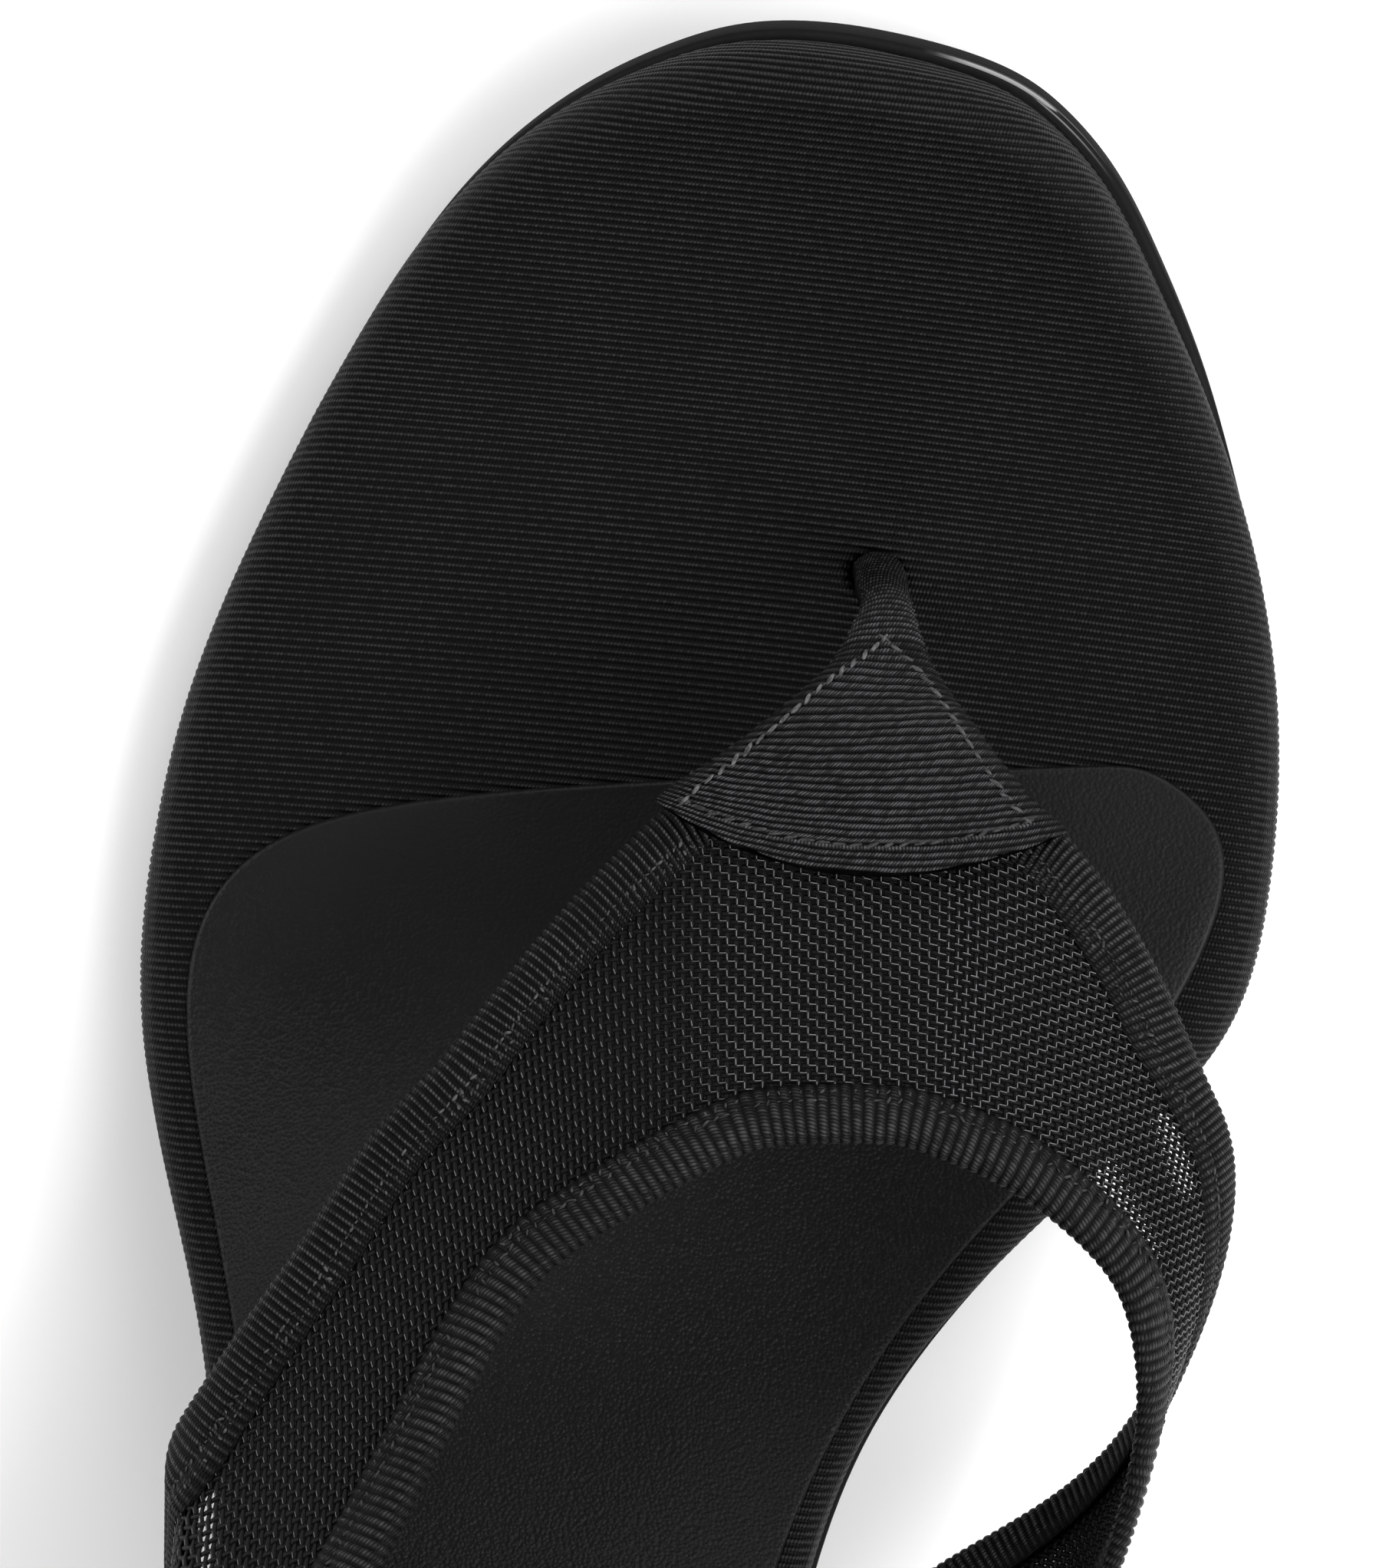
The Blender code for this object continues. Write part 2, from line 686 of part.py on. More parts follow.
def tab_net():
    """Middle of the toe post and tab with its normals and half depths, rows from the post foot back."""
    keys = np.arange(len(TAB_SECTIONS["sag"]), dtype=float)
    part = {name: curve(keys, TAB_SECTIONS[name]) for name in TAB_SECTIONS}
    rows = np.linspace(0.0, keys[-1], TAB_ROWS)[:, None]
    side = np.sin(np.linspace(-0.5, 0.5, TAB_COLUMNS + 1) * math.pi)
    share = (side + 1.0) / 2.0
    across = part["lateral_across"](rows) * (1.0 - share) + part["medial_across"](rows) * share
    back = part["lateral_back"](rows) * (1.0 - share) + part["medial_back"](rows) * share
    back = back + part["sag"](rows) * (1.0 - side**2)
    depth = np.repeat(part["half_depth"](rows), TAB_COLUMNS + 1, axis=1)
    step = 0.05
    lean = (last_height(across, back + step) - last_height(across, back - step)) / (2.0 * step)
    tilt = (last_height(across + step, back) - last_height(across - step, back)) / (2.0 * step)
    steep = np.sqrt(1.0 + lean**2 + tilt**2)
    clear = STRAP_WALL / 2.0 + GAP + depth
    tab = np.stack([across, back, last_height(across, back) + clear * steep], axis=-1)
    tab_normal = np.stack([-tilt, -lean, np.ones_like(lean)], axis=-1) / steep[..., None]
    post = {name: POST_SECTIONS[name][:, None] for name in POST_SECTIONS}
    foot = np.stack(
        [
            post["across"] + post["half_width"] * side,
            post["back"] + 0.0 * side,
            post["height"] + 0.0 * side,
        ],
        axis=-1,
    )
    path = np.gradient(np.concatenate([foot, tab[:1]])[:, TAB_COLUMNS // 2], axis=0)[:-1]
    turn = np.arctan2(path[:, 1], path[:, 2])[:, None] + 0.0 * side
    foot_normal = np.stack([0.0 * turn, -np.cos(turn), np.sin(turn)], axis=-1)
    foot_depth = post["half_depth"] + 0.0 * side
    net = np.concatenate([foot, tab])
    normal = np.concatenate([foot_normal, tab_normal])
    half = np.concatenate([foot_depth, depth])
    flatten = np.linspace(POST_ROUNDNESS, TAB_SQUARENESS, TAB_ROWS)
    squareness = np.concatenate([np.full(len(foot), POST_ROUNDNESS), flatten])
    round_off = np.sqrt(1.0 - np.abs(side) ** squareness[:, None])
    return net, normal, half * np.maximum(round_off, TAB_EDGE)


def build_tab(surface, root):
    net, normal, half = tab_net()
    lift = half[..., None] * normal
    return wall("toe_post_tab", net + lift, net - lift, surface, root)


def main():
    for old in list(bpy.data.objects):
        bpy.data.objects.remove(old, do_unlink=True)
    root = bpy.data.objects.new("sandal", None)
    bpy.context.scene.collection.objects.link(root)
    ribbed = material("ribbed_fabric", FABRIC_BLACK, 0.75)
    tape = material("ribbed_tape", FABRIC_BLACK, 0.7)
    mesh_cloth = material("mesh_cloth", FABRIC_BLACK, 0.6)
    leather = material("sock_leather", LEATHER_BLACK, 0.55)
    sole = material("smooth_sole", SOLE_BLACK, 0.25)
    rubber = material("heel_rubber", RUBBER_BLACK, 0.8)
    build_outsole(sole, root)
    build_footbed(ribbed, root)
    build_sock(leather, root)
    build_heel(ribbed, root)
    build_top_piece(rubber, root)
    build_strap(mesh_cloth, root)
    medial_end = row_at("front_around", BINDING_MEDIAL_END)
    lateral_end = row_at("front_around", BINDING_LATERAL_END)
    corner = row_at("front_around", TAB_MEDIAL_CORNER) - BINDING_TOP_GAP
    build_binding("binding_front_medial", medial_end, corner, 0.0, tape, root)
    corner = row_at("front_around", TAB_LATERAL_CORNER) + BINDING_TOP_GAP
    build_binding("binding_front_lateral", corner, lateral_end, 0.0, tape, root)
    medial_end = row_at("rear_around", BINDING_MEDIAL_END)
    lateral_end = row_at("rear_around", BINDING_LATERAL_END)
    build_binding("binding_rear", medial_end, lateral_end, 1.0, tape, root)
    build_tab(tape, root)


main()
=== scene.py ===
"""Looks of a heeled toe post sandal: ribbed cloth, mesh strap, bound edges, leather sock and a pale studio.

Shapes are worked out in millimetres: `across` towards the big toe, `back` behind the toe tip and `height`
above the floor. `around` is an angle on the last in degrees: -90 is the big-toe edge of the sole, 90 the
crest of the instep and 270 the little-toe edge of the sole.
"""

import math

import bmesh
import bpy
import numpy as np
from bpy.props import FloatProperty, FloatVectorProperty, PointerProperty
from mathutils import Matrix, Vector, kdtree


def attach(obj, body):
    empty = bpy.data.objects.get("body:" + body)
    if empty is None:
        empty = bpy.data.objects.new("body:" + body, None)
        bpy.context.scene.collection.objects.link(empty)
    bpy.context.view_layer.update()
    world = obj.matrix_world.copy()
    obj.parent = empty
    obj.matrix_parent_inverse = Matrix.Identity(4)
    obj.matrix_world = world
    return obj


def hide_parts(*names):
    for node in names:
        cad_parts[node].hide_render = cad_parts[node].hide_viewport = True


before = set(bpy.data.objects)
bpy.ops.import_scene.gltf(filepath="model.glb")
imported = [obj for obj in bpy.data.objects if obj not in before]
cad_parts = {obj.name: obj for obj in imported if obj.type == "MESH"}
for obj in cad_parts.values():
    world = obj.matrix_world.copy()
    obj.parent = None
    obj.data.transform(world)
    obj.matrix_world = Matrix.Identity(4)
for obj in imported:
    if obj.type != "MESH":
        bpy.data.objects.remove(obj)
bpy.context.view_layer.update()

bl_info = {
    "name": "Heeled toe post sandal",
    "version": (1, 0, 0),
    "blender": (4, 5, 0),
    "location": "3D View > Sidebar > Sandal",
    "description": "Dresses the solids of a heeled toe post sandal in cloth, mesh, tape and leather",
    "category": "Object",
}


def table(columns, *rows):
    """Short table of sizes with named columns."""
    return dict(zip(columns.split(), np.array(rows, float).T))


MM = 0.001
BODY = "root"
SHARP_ANGLE = 50.0

# Fine steps along the strap's edges, along its rows and round the last
EDGE_SAMPLES = 1200
ROW_SAMPLES = 4000
GIRTH_SAMPLES = 2400

# Sole
SHOE_LENGTH = 238.0
MID_ACROSS = 3.0
GAP = 0.3
SOLE_PLAN = table(
    "behind_toe medial lateral",
    (0.0, 3.5, 3.5),
    (1.0, 13.8, -5.0),
    (3.4, 19.3, -10.7),
    (7.2, 23.9, -16.4),
    (13.0, 28.4, -22.2),
    (21.0, 33.4, -27.2),
    (31.0, 38.1, -31.2),
    (44.0, 42.8, -35.3),
    (60.0, 45.0, -38.8),
    (72.0, 43.0, -39.3),
    (84.0, 34.6, -37.8),
    (95.0, 27.0, -33.8),
    (105.0, 22.1, -29.5),
    (117.0, 19.5, -25.8),
    (135.0, 18.9, -23.4),
    (160.0, 20.8, -23.6),
    (190.0, 23.4, -26.6),
    (212.0, 23.5, -27.0),
    (225.0, 20.3, -23.8),
    (234.0, 11.8, -15.2),
    (238.0, -1.7, -1.7),
)
TOE_SPRING = 8.0
TREAD_FRONT = 36.0
TREAD_BACK = 76.0
SEAT_FRONT = 186.0
SEAT_LIFT = 43.0
SEAT_SLOPE = 0.13
OUTSOLE_THICKNESS = 2.3
OUTSOLE_BEVEL = 0.7
OUTSOLE_STATIONS = 260
OUTSOLE_COLUMNS = 10
WALL_LINE = 0.42
POLISH_RINGS = (0.0, 0.0, 1.0, 0.6, 0.0, 0.0)
POLISH_FROM = (8.0, 12.0)
POLISH_TO = (18.5, 24.0)
POLISH_BACK = (9.0, 13.0)
ROUND_STEPS = 6

# Footbed
FOOTBED_THICKNESS = 6.2
FOOTBED_INSET = 0.4
FOOTBED_SHIFT = 0.5
FOOTBED_FOOT = 0.8
FOOTBED_TUCK = 1.28
RIM_FRONT = 3.6
RIM_BACK = 2.4
RIM_BLEND = (75.0, 105.0)
DISH = 0.9
DISH_BLEND = (70.0, 120.0)
DISH_END = 22.0
EDGE_STATIONS = 3000
BED_BULGE = 0.8
WAIST_BULGE = 0.35
BULGE_FROM = (14.0, 34.0)
BULGE_TO = (190.0, 225.0)
BULGE_SIDE = (0.0, 0.5)
RIB_LEAN = 0.061
RIB_BOW = 0.00054
RIB_ROWS = 4
# Painted highlight where the cloth turns over the footbed's rim: the ribs' light colour grows by this share
# of itself
RIM_HIGHLIGHT = 2.0
RIM_TURN = (0.0, 0.8)
RIM_SPAN = 12.0
RIM_COLUMNS = 9
SIDE_COLUMNS = (10, 6)
HOLE_COLUMNS = 12
HOLE_SPAN = 3.4
HOLE_REACH = 8.0
HOLE_DEPTH = 5.0
HOLE_DIP = 0.3
HOLE_SHIFT = -0.15
HOLE_ACROSS = 1.92
HOLE_FRONT = 39.3
HOLE_BACK = 42.8
HOLE_MIDDLE = (HOLE_FRONT + HOLE_BACK) / 2.0
HOLE_WALL = (0.75, 1.0)
HOLE_LIP = (0.9, 1.35)
HOLE_RIBS = (0.8, 1.0)

# Leather sock
SOCK_PLAN = table(
    "behind_toe medial lateral",
    (51.9, 33.0, 33.0),
    (52.7, 36.3, 28.0),
    (55.0, 39.6, 17.0),
    (60.0, 41.2, -6.0),
    (66.0, 40.2, -25.8),
    (72.0, 37.9, -33.2),
    (80.0, 33.2, -34.9),
    (95.0, 23.7, -30.6),
    (117.0, 16.3, -23.0),
    (150.0, 16.3, -20.0),
    (190.0, 20.0, -23.4),
    (214.0, 19.7, -23.4),
    (228.0, 13.4, -17.0),
    (234.4, -1.8, -1.8),
)
SOCK_THICKNESS = 0.8
SOCK_ROUND = 0.4
SOCK_EDGE = 0.35
SOCK_SINK = 0.4
SOCK_RIPPLE = 0.06
SOCK_WAVES = table("across back", (7.0, 11.0), (-13.0, 9.0))
SOCK_STATIONS = 220
SOCK_COLUMNS = 40

# Heel
HEEL_SECTIONS = table(
    "drop breast rear half_width",
    (0.0, 190.0, 236.6, 24.2),
    (0.12, 195.0, 236.0, 21.4),
    (0.35, 202.5, 233.8, 15.4),
    (0.65, 207.5, 231.2, 11.4),
    (1.0, 209.5, 229.8, 10.0),
)
HEEL_ACROSS = -1.7
HEEL_CORNER = 0.4
HEEL_POINTS = 112
TOP_PIECE_HEIGHT = 5.5
TOP_PIECE_BEVEL = 0.45
TOP_PIECE_SEAT_BEVEL = 0.15
TOP_PIECE_STEPS = (5, 3)

# Strap on the last
LAST_SECTIONS = table(
    "behind_toe medial lateral reach_height crest_across crest_height",
    (43.0, 37.0, -31.0, 13.0, 12.0, 15.0),
    (46.0, 39.0, -33.0, 14.0, 12.4, 20.6),
    (50.0, 41.0, -35.5, 15.5, 13.0, 26.0),
    (54.0, 42.5, -37.5, 17.0, 13.6, 29.1),
    (58.0, 43.7, -38.5, 18.0, 14.2, 30.6),
    (66.0, 45.0, -39.0, 19.5, 15.5, 32.9),
    (75.0, 45.0, -37.8, 21.0, 17.0, 36.0),
    (85.0, 44.8, -35.6, 23.0, 18.5, 39.5),
    (97.0, 43.0, -32.2, 25.5, 19.0, 43.5),
    (110.0, 40.8, -29.0, 28.5, 18.0, 48.5),
    (125.0, 38.2, -27.2, 33.0, 15.0, 55.0),
    (145.0, 35.5, -26.8, 40.0, 11.0, 62.0),
    (165.0, 34.0, -27.0, 46.0, 8.0, 67.0),
)
LATERAL_LEANNESS = 0.5
LATERAL_TUCK = 0.8
STRAP_SECTIONS = table(
    "front_around front_back rear_around rear_back",
    (-145.0, 119.5, -145.0, 146.0),
    (-90.0, 119.5, -90.0, 146.0),
    (-62.5, 113.0, -52.0, 137.0),
    (-33.0, 104.2, -18.0, 122.0),
    (-9.0, 93.0, 6.0, 109.0),
    (10.0, 81.0, 18.0, 101.5),
    (28.0, 74.5, 35.0, 93.3),
    (43.0, 67.8, 48.0, 88.6),
    (62.0, 57.8, 66.0, 84.5),
    (74.0, 54.5, 78.0, 82.9),
    (89.0, 51.5, 88.0, 82.3),
    (101.0, 56.5, 95.5, 83.3),
    (108.0, 61.5, 101.5, 85.4),
    (122.0, 77.0, 111.5, 92.0),
    (128.0, 83.3, 117.0, 96.3),
    (135.0, 89.3, 121.0, 101.5),
    (144.0, 97.5, 124.5, 107.5),
    (157.5, 106.0, 128.5, 115.0),
    (172.0, 111.5, 134.0, 124.0),
    (194.0, 116.0, 147.0, 134.5),
    (222.0, 121.5, 180.0, 145.0),
    (250.0, 126.5, 230.0, 153.0),
    (270.0, 130.0, 270.0, 157.5),
    (325.0, 130.0, 325.0, 157.5),
)
FLAP_PER_DEGREE = 0.1
STRAP_WALL = 0.7
MESH_MARGIN = 2.0
MESH_ENDS = (-88.0, 268.0)
MESH_SPARE = 16.0
MESH_CLOSER = 0.17
MESH_LEAN = 0.15
MESH_SIDE = (100.0, 130.0)
MESH_SECTION = 80.0
MESH_ORIGIN = 71.0
MESH_REACH = 110.0
MESH_BOW = 0.0072
MESH_BOW_ACROSS = 18.0
MESH_FAN = 0.0095
MESH_FAN_ACROSS = 15.2
MESH_FAN_RANGE = (0.84, 1.35)
# Painted highlight on the feet of the mesh floats: where across the shoe it dies out, and where it moves
# from one end of each foot to the other
FOOT_HIGHLIGHT_SPAN = (0.0, 9.0)
FOOT_TURN = (20.0, 27.0)
FOOT_HALF = 0.4
FLOAT_LIFT = 0.2
FLOAT_LEAST = 0.05
YARN_SIDES = 4
YARN_RISE = 0.09
WELD_DIGITS = 4
BAR_TRIM = (0.1, 0.2)
BAR_LEAN = 0.1
BAR_SWELL = 0.72
MESH_PATCHES = table(
    "across back run_across run_back reach",
    (39.6, 78.6, 1.6, 3.1, 1.1),
    (36.0, 83.6, 2.6, 3.4, 1.5),
)
PATCH_EDGE = (0.2, 1.4)
PATCH_OPEN = 0.29
MESH_SHUT = 0.13
MESH_SHUT_ACROSS = (26.0, 31.0)

# Binding tape: one row for each point of its folded section
BINDING_SKIN = table(
    "inset lift ribbed",
    (4.20, 0.14, 0.0),
    (4.08, 0.30, 0.3),
    (3.70, 0.56, 0.6),
    (3.20, 0.72, 0.6),
    (2.85, 0.68, 0.5),
    (2.50, 0.88, 1.0),
    (1.90, 0.98, 1.0),
    (1.30, 1.00, 1.0),
    (0.80, 0.96, 1.0),
    (0.35, 0.80, 0.8),
    (0.10, 0.45, 0.6),
    (0.00, 0.00, 0.5),
    (0.10, -0.45, 0.6),
    (0.35, -0.80, 0.8),
    (0.80, -0.97, 1.0),
    (2.20, -1.00, 1.0),
    (3.80, -0.95, 0.0),
    (3.80, -0.60, 0.0),
    (1.20, -0.56, 0.0),
    (0.85, 0.00, 0.0),
    (1.20, 0.56, 0.0),
    (4.20, 0.08, 0.0),
)
BINDING_HALF = 1.15
BINDING_THIN = 0.35
BINDING_THIN_ROWS = (5.0, 9.0)
BINDING_TUCK = 0.35
BINDING_TAPER = 0.75
BINDING_PRESSED = 0.5
BINDING_PRESS_SPAN = (0.05, 0.5)
EDGE_BLEND = 31
EDGE_SETTLE = (17.6, 20.2)
BINDING_STRETCH = (1.1, 1.5)
BINDING_STRETCH_ROWS = (10.0, 13.0)
BINDING_MEDIAL_END = -84.0
BINDING_LATERAL_END = 262.0

# Toe post and tab
POST_SECTIONS = table(
    "across back height half_width half_depth",
    (11.2, 40.6, 3.3, 1.75, 1.4),
    (11.3, 40.7, 7.0, 1.8, 1.45),
    (11.5, 41.2, 11.5, 1.85, 1.5),
    (11.8, 42.4, 16.0, 1.95, 1.5),
)
TAB_SECTIONS = table(
    "lateral_across lateral_back medial_across medial_back sag half_depth",
    (10.3, 44.3, 14.2, 43.6, 0.0, 1.3),
    (9.3, 47.4, 15.5, 46.3, 0.0, 1.0),
    (7.7, 50.0, 17.6, 48.9, 0.1, 0.8),
    (4.8, 53.4, 19.4, 50.6, 0.3, 0.65),
    (1.9, 56.5, 21.9, 53.0, 0.9, 0.6),
    (-0.8, 59.0, 24.9, 55.6, 2.2, 0.6),
    (-2.3, 60.7, 28.2, 57.7, 4.3, 0.6),
)
TAB_ROWS = 18
TAB_COLUMNS = 80
TAB_RIB_ROWS = 6
TAB_FLATTEN = 0.6
TAB_EDGE = 0.35
TAB_MEDIAL_CORNER = 62.0
TAB_LATERAL_CORNER = 108.0
POST_ROUNDNESS = 2.0
POST_SWELL = 0.2
POST_SWELL_HEIGHT = (5.0, 15.0)
TAB_SQUARENESS = 16.0
TAB_SEAM = table(
    "row lateral medial",
    (0.95, 0.50, 0.50),
    (1.30, 0.34, 0.68),
    (1.80, 0.18, 0.82),
    (2.50, 0.11, 0.89),
    (3.50, 0.08, 0.92),
    (4.50, 0.065, 0.935),
    (5.50, 0.055, 0.945),
)
SEAM_DEPTH = 0.16
SEAM_REACH = 0.34
SEAM_BLEND = 0.06
SEAM_POINTS = 60
SEAM_SKIP = 3
# Past the seams the tab's ribs are flatter and darker: flatter is real, darker is painted shade on the
# turned-down border
TAB_BORDER_SHADE = 0.4
POST_RIBS = 0.42
POST_FADE_ROWS = (3, 6)
TAB_WAVES = table("height along over", (0.05, 0.9, 0.5), (0.03, 2.3, -1.0))

# Tapes and seams: painted light of the ribs and threads, darker on some tapes and seams than on others,
# places and sizes of the stitches
BINDING_LOOKS = {
    "front_medial": {"edge": 0.0, "sharp": 4.0, "fade": 0.85, "sewn": 0.7},
    "front_lateral": {"edge": 0.0, "sharp": 12.0, "fade": 1.0, "sewn": 1.0},
    "rear": {"edge": 1.0, "sharp": 2.5, "fade": 0.7, "sewn": 0.5},
}
BINDING_SEAMS = {
    "stitches": {"inset": 2.85, "lift": 0.7, "width": 0.2, "fill": 0.75, "slant": 0.3, "loose": 1.0},
    "knots": {"inset": 3.5, "lift": 0.66, "width": 0.17, "fill": 0.5, "slant": 1.0, "loose": 1.0},
}
# The tab's medial seam and its hem get darker thread: painted shade, deepest on the sunk hem
TAB_THREADS = {
    "lateral": {"fade": 1.0, "sink": 0.0},
    "medial": {"fade": 0.6, "sink": 0.03},
    "hem": {"fade": 0.3, "sink": 0.06},
}
TAB_SEWING = {"width": 0.34, "fill": 1.05, "slant": 0.2, "loose": 0.3}
STITCH_SEED = 7
STITCH_TURN = 2.2
STITCH_SWELL = 0.9

# Ribbed cloths: sharpness of a rib's lit crest, slant and bluntness of its yarns, and height of the ribs
CLOTH_RIBS = {"sharp": 9.0, "slant": 0.3, "blunt": 1.2}
TAPE_RIBS = {"slant": 0.7, "blunt": 1.2}
TAB_RIBS = {"sharp": 3.0, "slant": 0.5, "blunt": 1.4}
CLOTH_UNEVENNESS = 0.25
TAPE_UNEVENNESS = 0.3
RIB_ROUNDNESS = 0.8
RIB_NOISE = 260.0

# Finishes: scales of the grain, ranges of light and roughness, strength of the bump and its depth
CLOTH_FINISH = {
    "stagger": 0.37,
    "fuzz": 1500.0,
    "fuzz_share": 0.35,
    "patch": 110.0,
    "worn": (0.4, 1.6),
    "dash": (0.4, 1.5),
    "roughness": (0.34, 0.5),
    "bump": 0.6,
    "depth": 0.12,
    "specular": 0.06,
}
YARN_FINISH = {"grain": 900.0, "lit": (0.3, 1.5), "roughness_span": 0.08, "specular": 0.08}
GROUND_ROUGHNESS = 0.4
FLOAT_ROUGHNESS = 0.35
THREAD_FINISH = {
    "twist": 2200.0,
    "contrast": (-1.1, 2.1),
    "dark": 0.12,
    "roughness": 0.55,
    "bump": 0.5,
    "depth": 0.1,
    "specular": 0.3,
}
LEATHER_FINISH = {
    "pebble": 3300.0,
    "pebble_share": -0.8,
    "fine": 3600.0,
    "fine_share": 0.5,
    "rear": 0.02,
    "rear_grain": 1.0,
    "front": 0.05,
    "front_grain": 0.32,
    "blotch": 22.0,
    "blotches": (0.4, 1.5),
    "patch": 45.0,
    "roughness": (0.3, 0.55),
    "dark": 0.7,
    "bump": 0.8,
    "depth": 0.16,
    "specular": 0.16,
}
SOLE_FINISH = {
    "scuff": 160.0,
    "fine": 2400.0,
    "line_share": 0.5,
    "dark": 0.45,
    "roughness": (0.6, 0.75),
    "bump": 0.15,
    "depth": 0.05,
    "specular": 0.03,
    "coat_roughness": 0.07,
    "coat_ior": 2.4,
}
RUBBER_FINISH = {
    "fine": 1800.0,
    "dark": 0.7,
    "roughness": (0.6, 0.8),
    "bump": 0.15,
    "depth": 0.08,
    "specular": 0.5,
}

# Stage
FLOOR_FINISH = {
    "noise": 3.0,
    "dark": 0.985,
    "roughness": 0.9,
    "specular": 0.1,
    "glow_from": 0.6,
    "glow_to": 1.0,
}
FLOOR_DROP = 0.2
CAMERA_REACH = 10.0


def curve(keys, values):
    """Smooth curve through the rows of a table, straight at both ends."""
    keys, values = np.asarray(keys, float), np.asarray(values, float)
    count = len(keys)
    flat = values.reshape(count, -1)
    step = np.diff(keys)
    rise = np.diff(flat, axis=0) / step[:, None]
    rows = np.eye(count)
    right = np.zeros_like(flat)
    for i in range(1, count - 1):
        rows[i, i - 1 : i + 2] = step[i - 1], 2.0 * (step[i - 1] + step[i]), step[i]
        right[i] = 6.0 * (rise[i] - rise[i - 1])
    bend = np.linalg.solve(rows, right)

    def at(key):
        key = np.asarray(key, float)
        i = np.clip(np.searchsorted(keys, key.ravel()) - 1, 0, count - 2)
        run = (key.ravel() - keys[i])[:, None]
        span = step[i][:, None]
        slope = rise[i] - span * (2.0 * bend[i] + bend[i + 1]) / 6.0
        cubic = (bend[i + 1] - bend[i]) / (6.0 * span)
        made = flat[i] + run * (slope + run * (bend[i] / 2.0 + run * cubic))
        return made.reshape(key.shape + values.shape[1:])

    return at


def ease(value, start, end):
    """Soft step from 0 at start to 1 at end."""
    t = np.clip((value - start) / (end - start), 0.0, 1.0)
    return t * t * (3.0 - 2.0 * t)


class Plan:
    """Closed outline seen from above, round at both ends."""

    def __init__(self, rows, inset=0.0, shift=0.0):
        self.front = rows["behind_toe"][0]
        self.length = rows["behind_toe"][-1] - self.front
        turns = self.turn(rows["behind_toe"])
        self.sides = [curve(turns, rows["medial"]), curve(turns, rows["lateral"])]
        self.inset = inset
        self.shift = shift

    def turn(self, back):
        """Angle that opens out the blunt ends."""
        return np.arccos(1.0 - 2.0 * np.clip((back - self.front) / self.length, 0.0, 1.0))

    def across(self, back, medial):
        """Edge of the outline at a distance behind the toe."""
        turn = self.turn(np.asarray(back, float))
        return np.where(medial, self.sides[0](turn), self.sides[1](turn))

    def rim(self, count):
        """Points round the outline with their outward directions, down one side and up the other."""
        backs = self.front + self.length * (1.0 - np.cos(np.linspace(0.0, math.pi, count + 1))) / 2.0
        turns = self.turn(backs)
        step = 1e-4
        sides = []
        for side, sign in zip(self.sides, (1.0, -1.0)):
            grow = (side(turns + step) - side(turns - step)) / (2.0 * step)
            along = self.length * np.sin(turns) / 2.0
            size = np.hypot(grow, along)
            sides.append(np.array([side(turns), backs, sign * along / size, -sign * grow / size]))
        medial, lateral = sides
        medial[2:, 0] = 0.0, -1.0
        medial[2:, -1] = 0.0, 1.0
        ring = np.concatenate([medial, lateral[:, -2:0:-1]], axis=1)
        ring[:2] -= self.inset * ring[2:]
        ring[0] -= self.shift
        return ring


OUTLINE = Plan(SOLE_PLAN)
BED_PLAN = Plan(SOLE_PLAN, FOOTBED_INSET, FOOTBED_SHIFT)
SOCK_OUTLINE = Plan(SOCK_PLAN)
LAST_CURVES = {name: curve(LAST_SECTIONS["behind_toe"], LAST_SECTIONS[name]) for name in LAST_SECTIONS}
STRAP_ROWS = np.arange(len(STRAP_SECTIONS["front_around"]), dtype=float)
STRAP_CURVES = {name: curve(STRAP_ROWS, STRAP_SECTIONS[name]) for name in STRAP_SECTIONS}
HEEL_CURVES = {name: curve(HEEL_SECTIONS["drop"], HEEL_SECTIONS[name]) for name in HEEL_SECTIONS}


def tread(back):
    """Height of the underside of the sole: toe spring, flat tread, rise of the waist and sloping seat."""
    spring = TOE_SPRING * np.clip(1.0 - back / TREAD_FRONT, 0.0, None) ** 2
    span = SEAT_FRONT - TREAD_BACK
    t = np.clip((back - TREAD_BACK) / span, 0.0, 1.0)
    waist = SEAT_LIFT * t * t * (3.0 - 2.0 * t) + SEAT_SLOPE * span * t * t * (t - 1.0)
    return spring + waist + SEAT_SLOPE * np.clip(back - SEAT_FRONT, 0.0, None)


def rim_radius(back):
    """Radius of the round top edge of the footbed."""
    return RIM_FRONT + (RIM_BACK - RIM_FRONT) * ease(back, *RIM_BLEND)


def bed_height(across, back):
    """Height of the top of the footbed above its own underside, dished under the arch and heel."""
    edges = [OUTLINE.across(back, side) for side in (True, False)]
    middle = (edges[0] + edges[1]) / 2.0
    half = np.maximum((edges[0] - edges[1]) / 2.0 - rim_radius(back), 1.0)
    share = np.clip((across - middle) / half, -1.0, 1.0)
    fade = ease(back, *DISH_BLEND) * ease(SHOE_LENGTH - back, 0.0, DISH_END)
    return FOOTBED_THICKNESS - DISH * fade * (1.0 - share**2)


def on_sole(across, back, height):
    """Point at a height above the tread, leaning with the toe spring."""
    lean = 2.0 * TOE_SPRING / TREAD_FRONT * np.clip(1.0 - back / TREAD_FRONT, 0.0, None)
    return np.stack([across, back + lean * height, tread(back) + height], axis=-1)


def lean_rise(rise):
    """Flatter shoulder of the last on the little-toe side."""
    return rise * (1.0 - LATERAL_LEANNESS * (1.0 - rise))


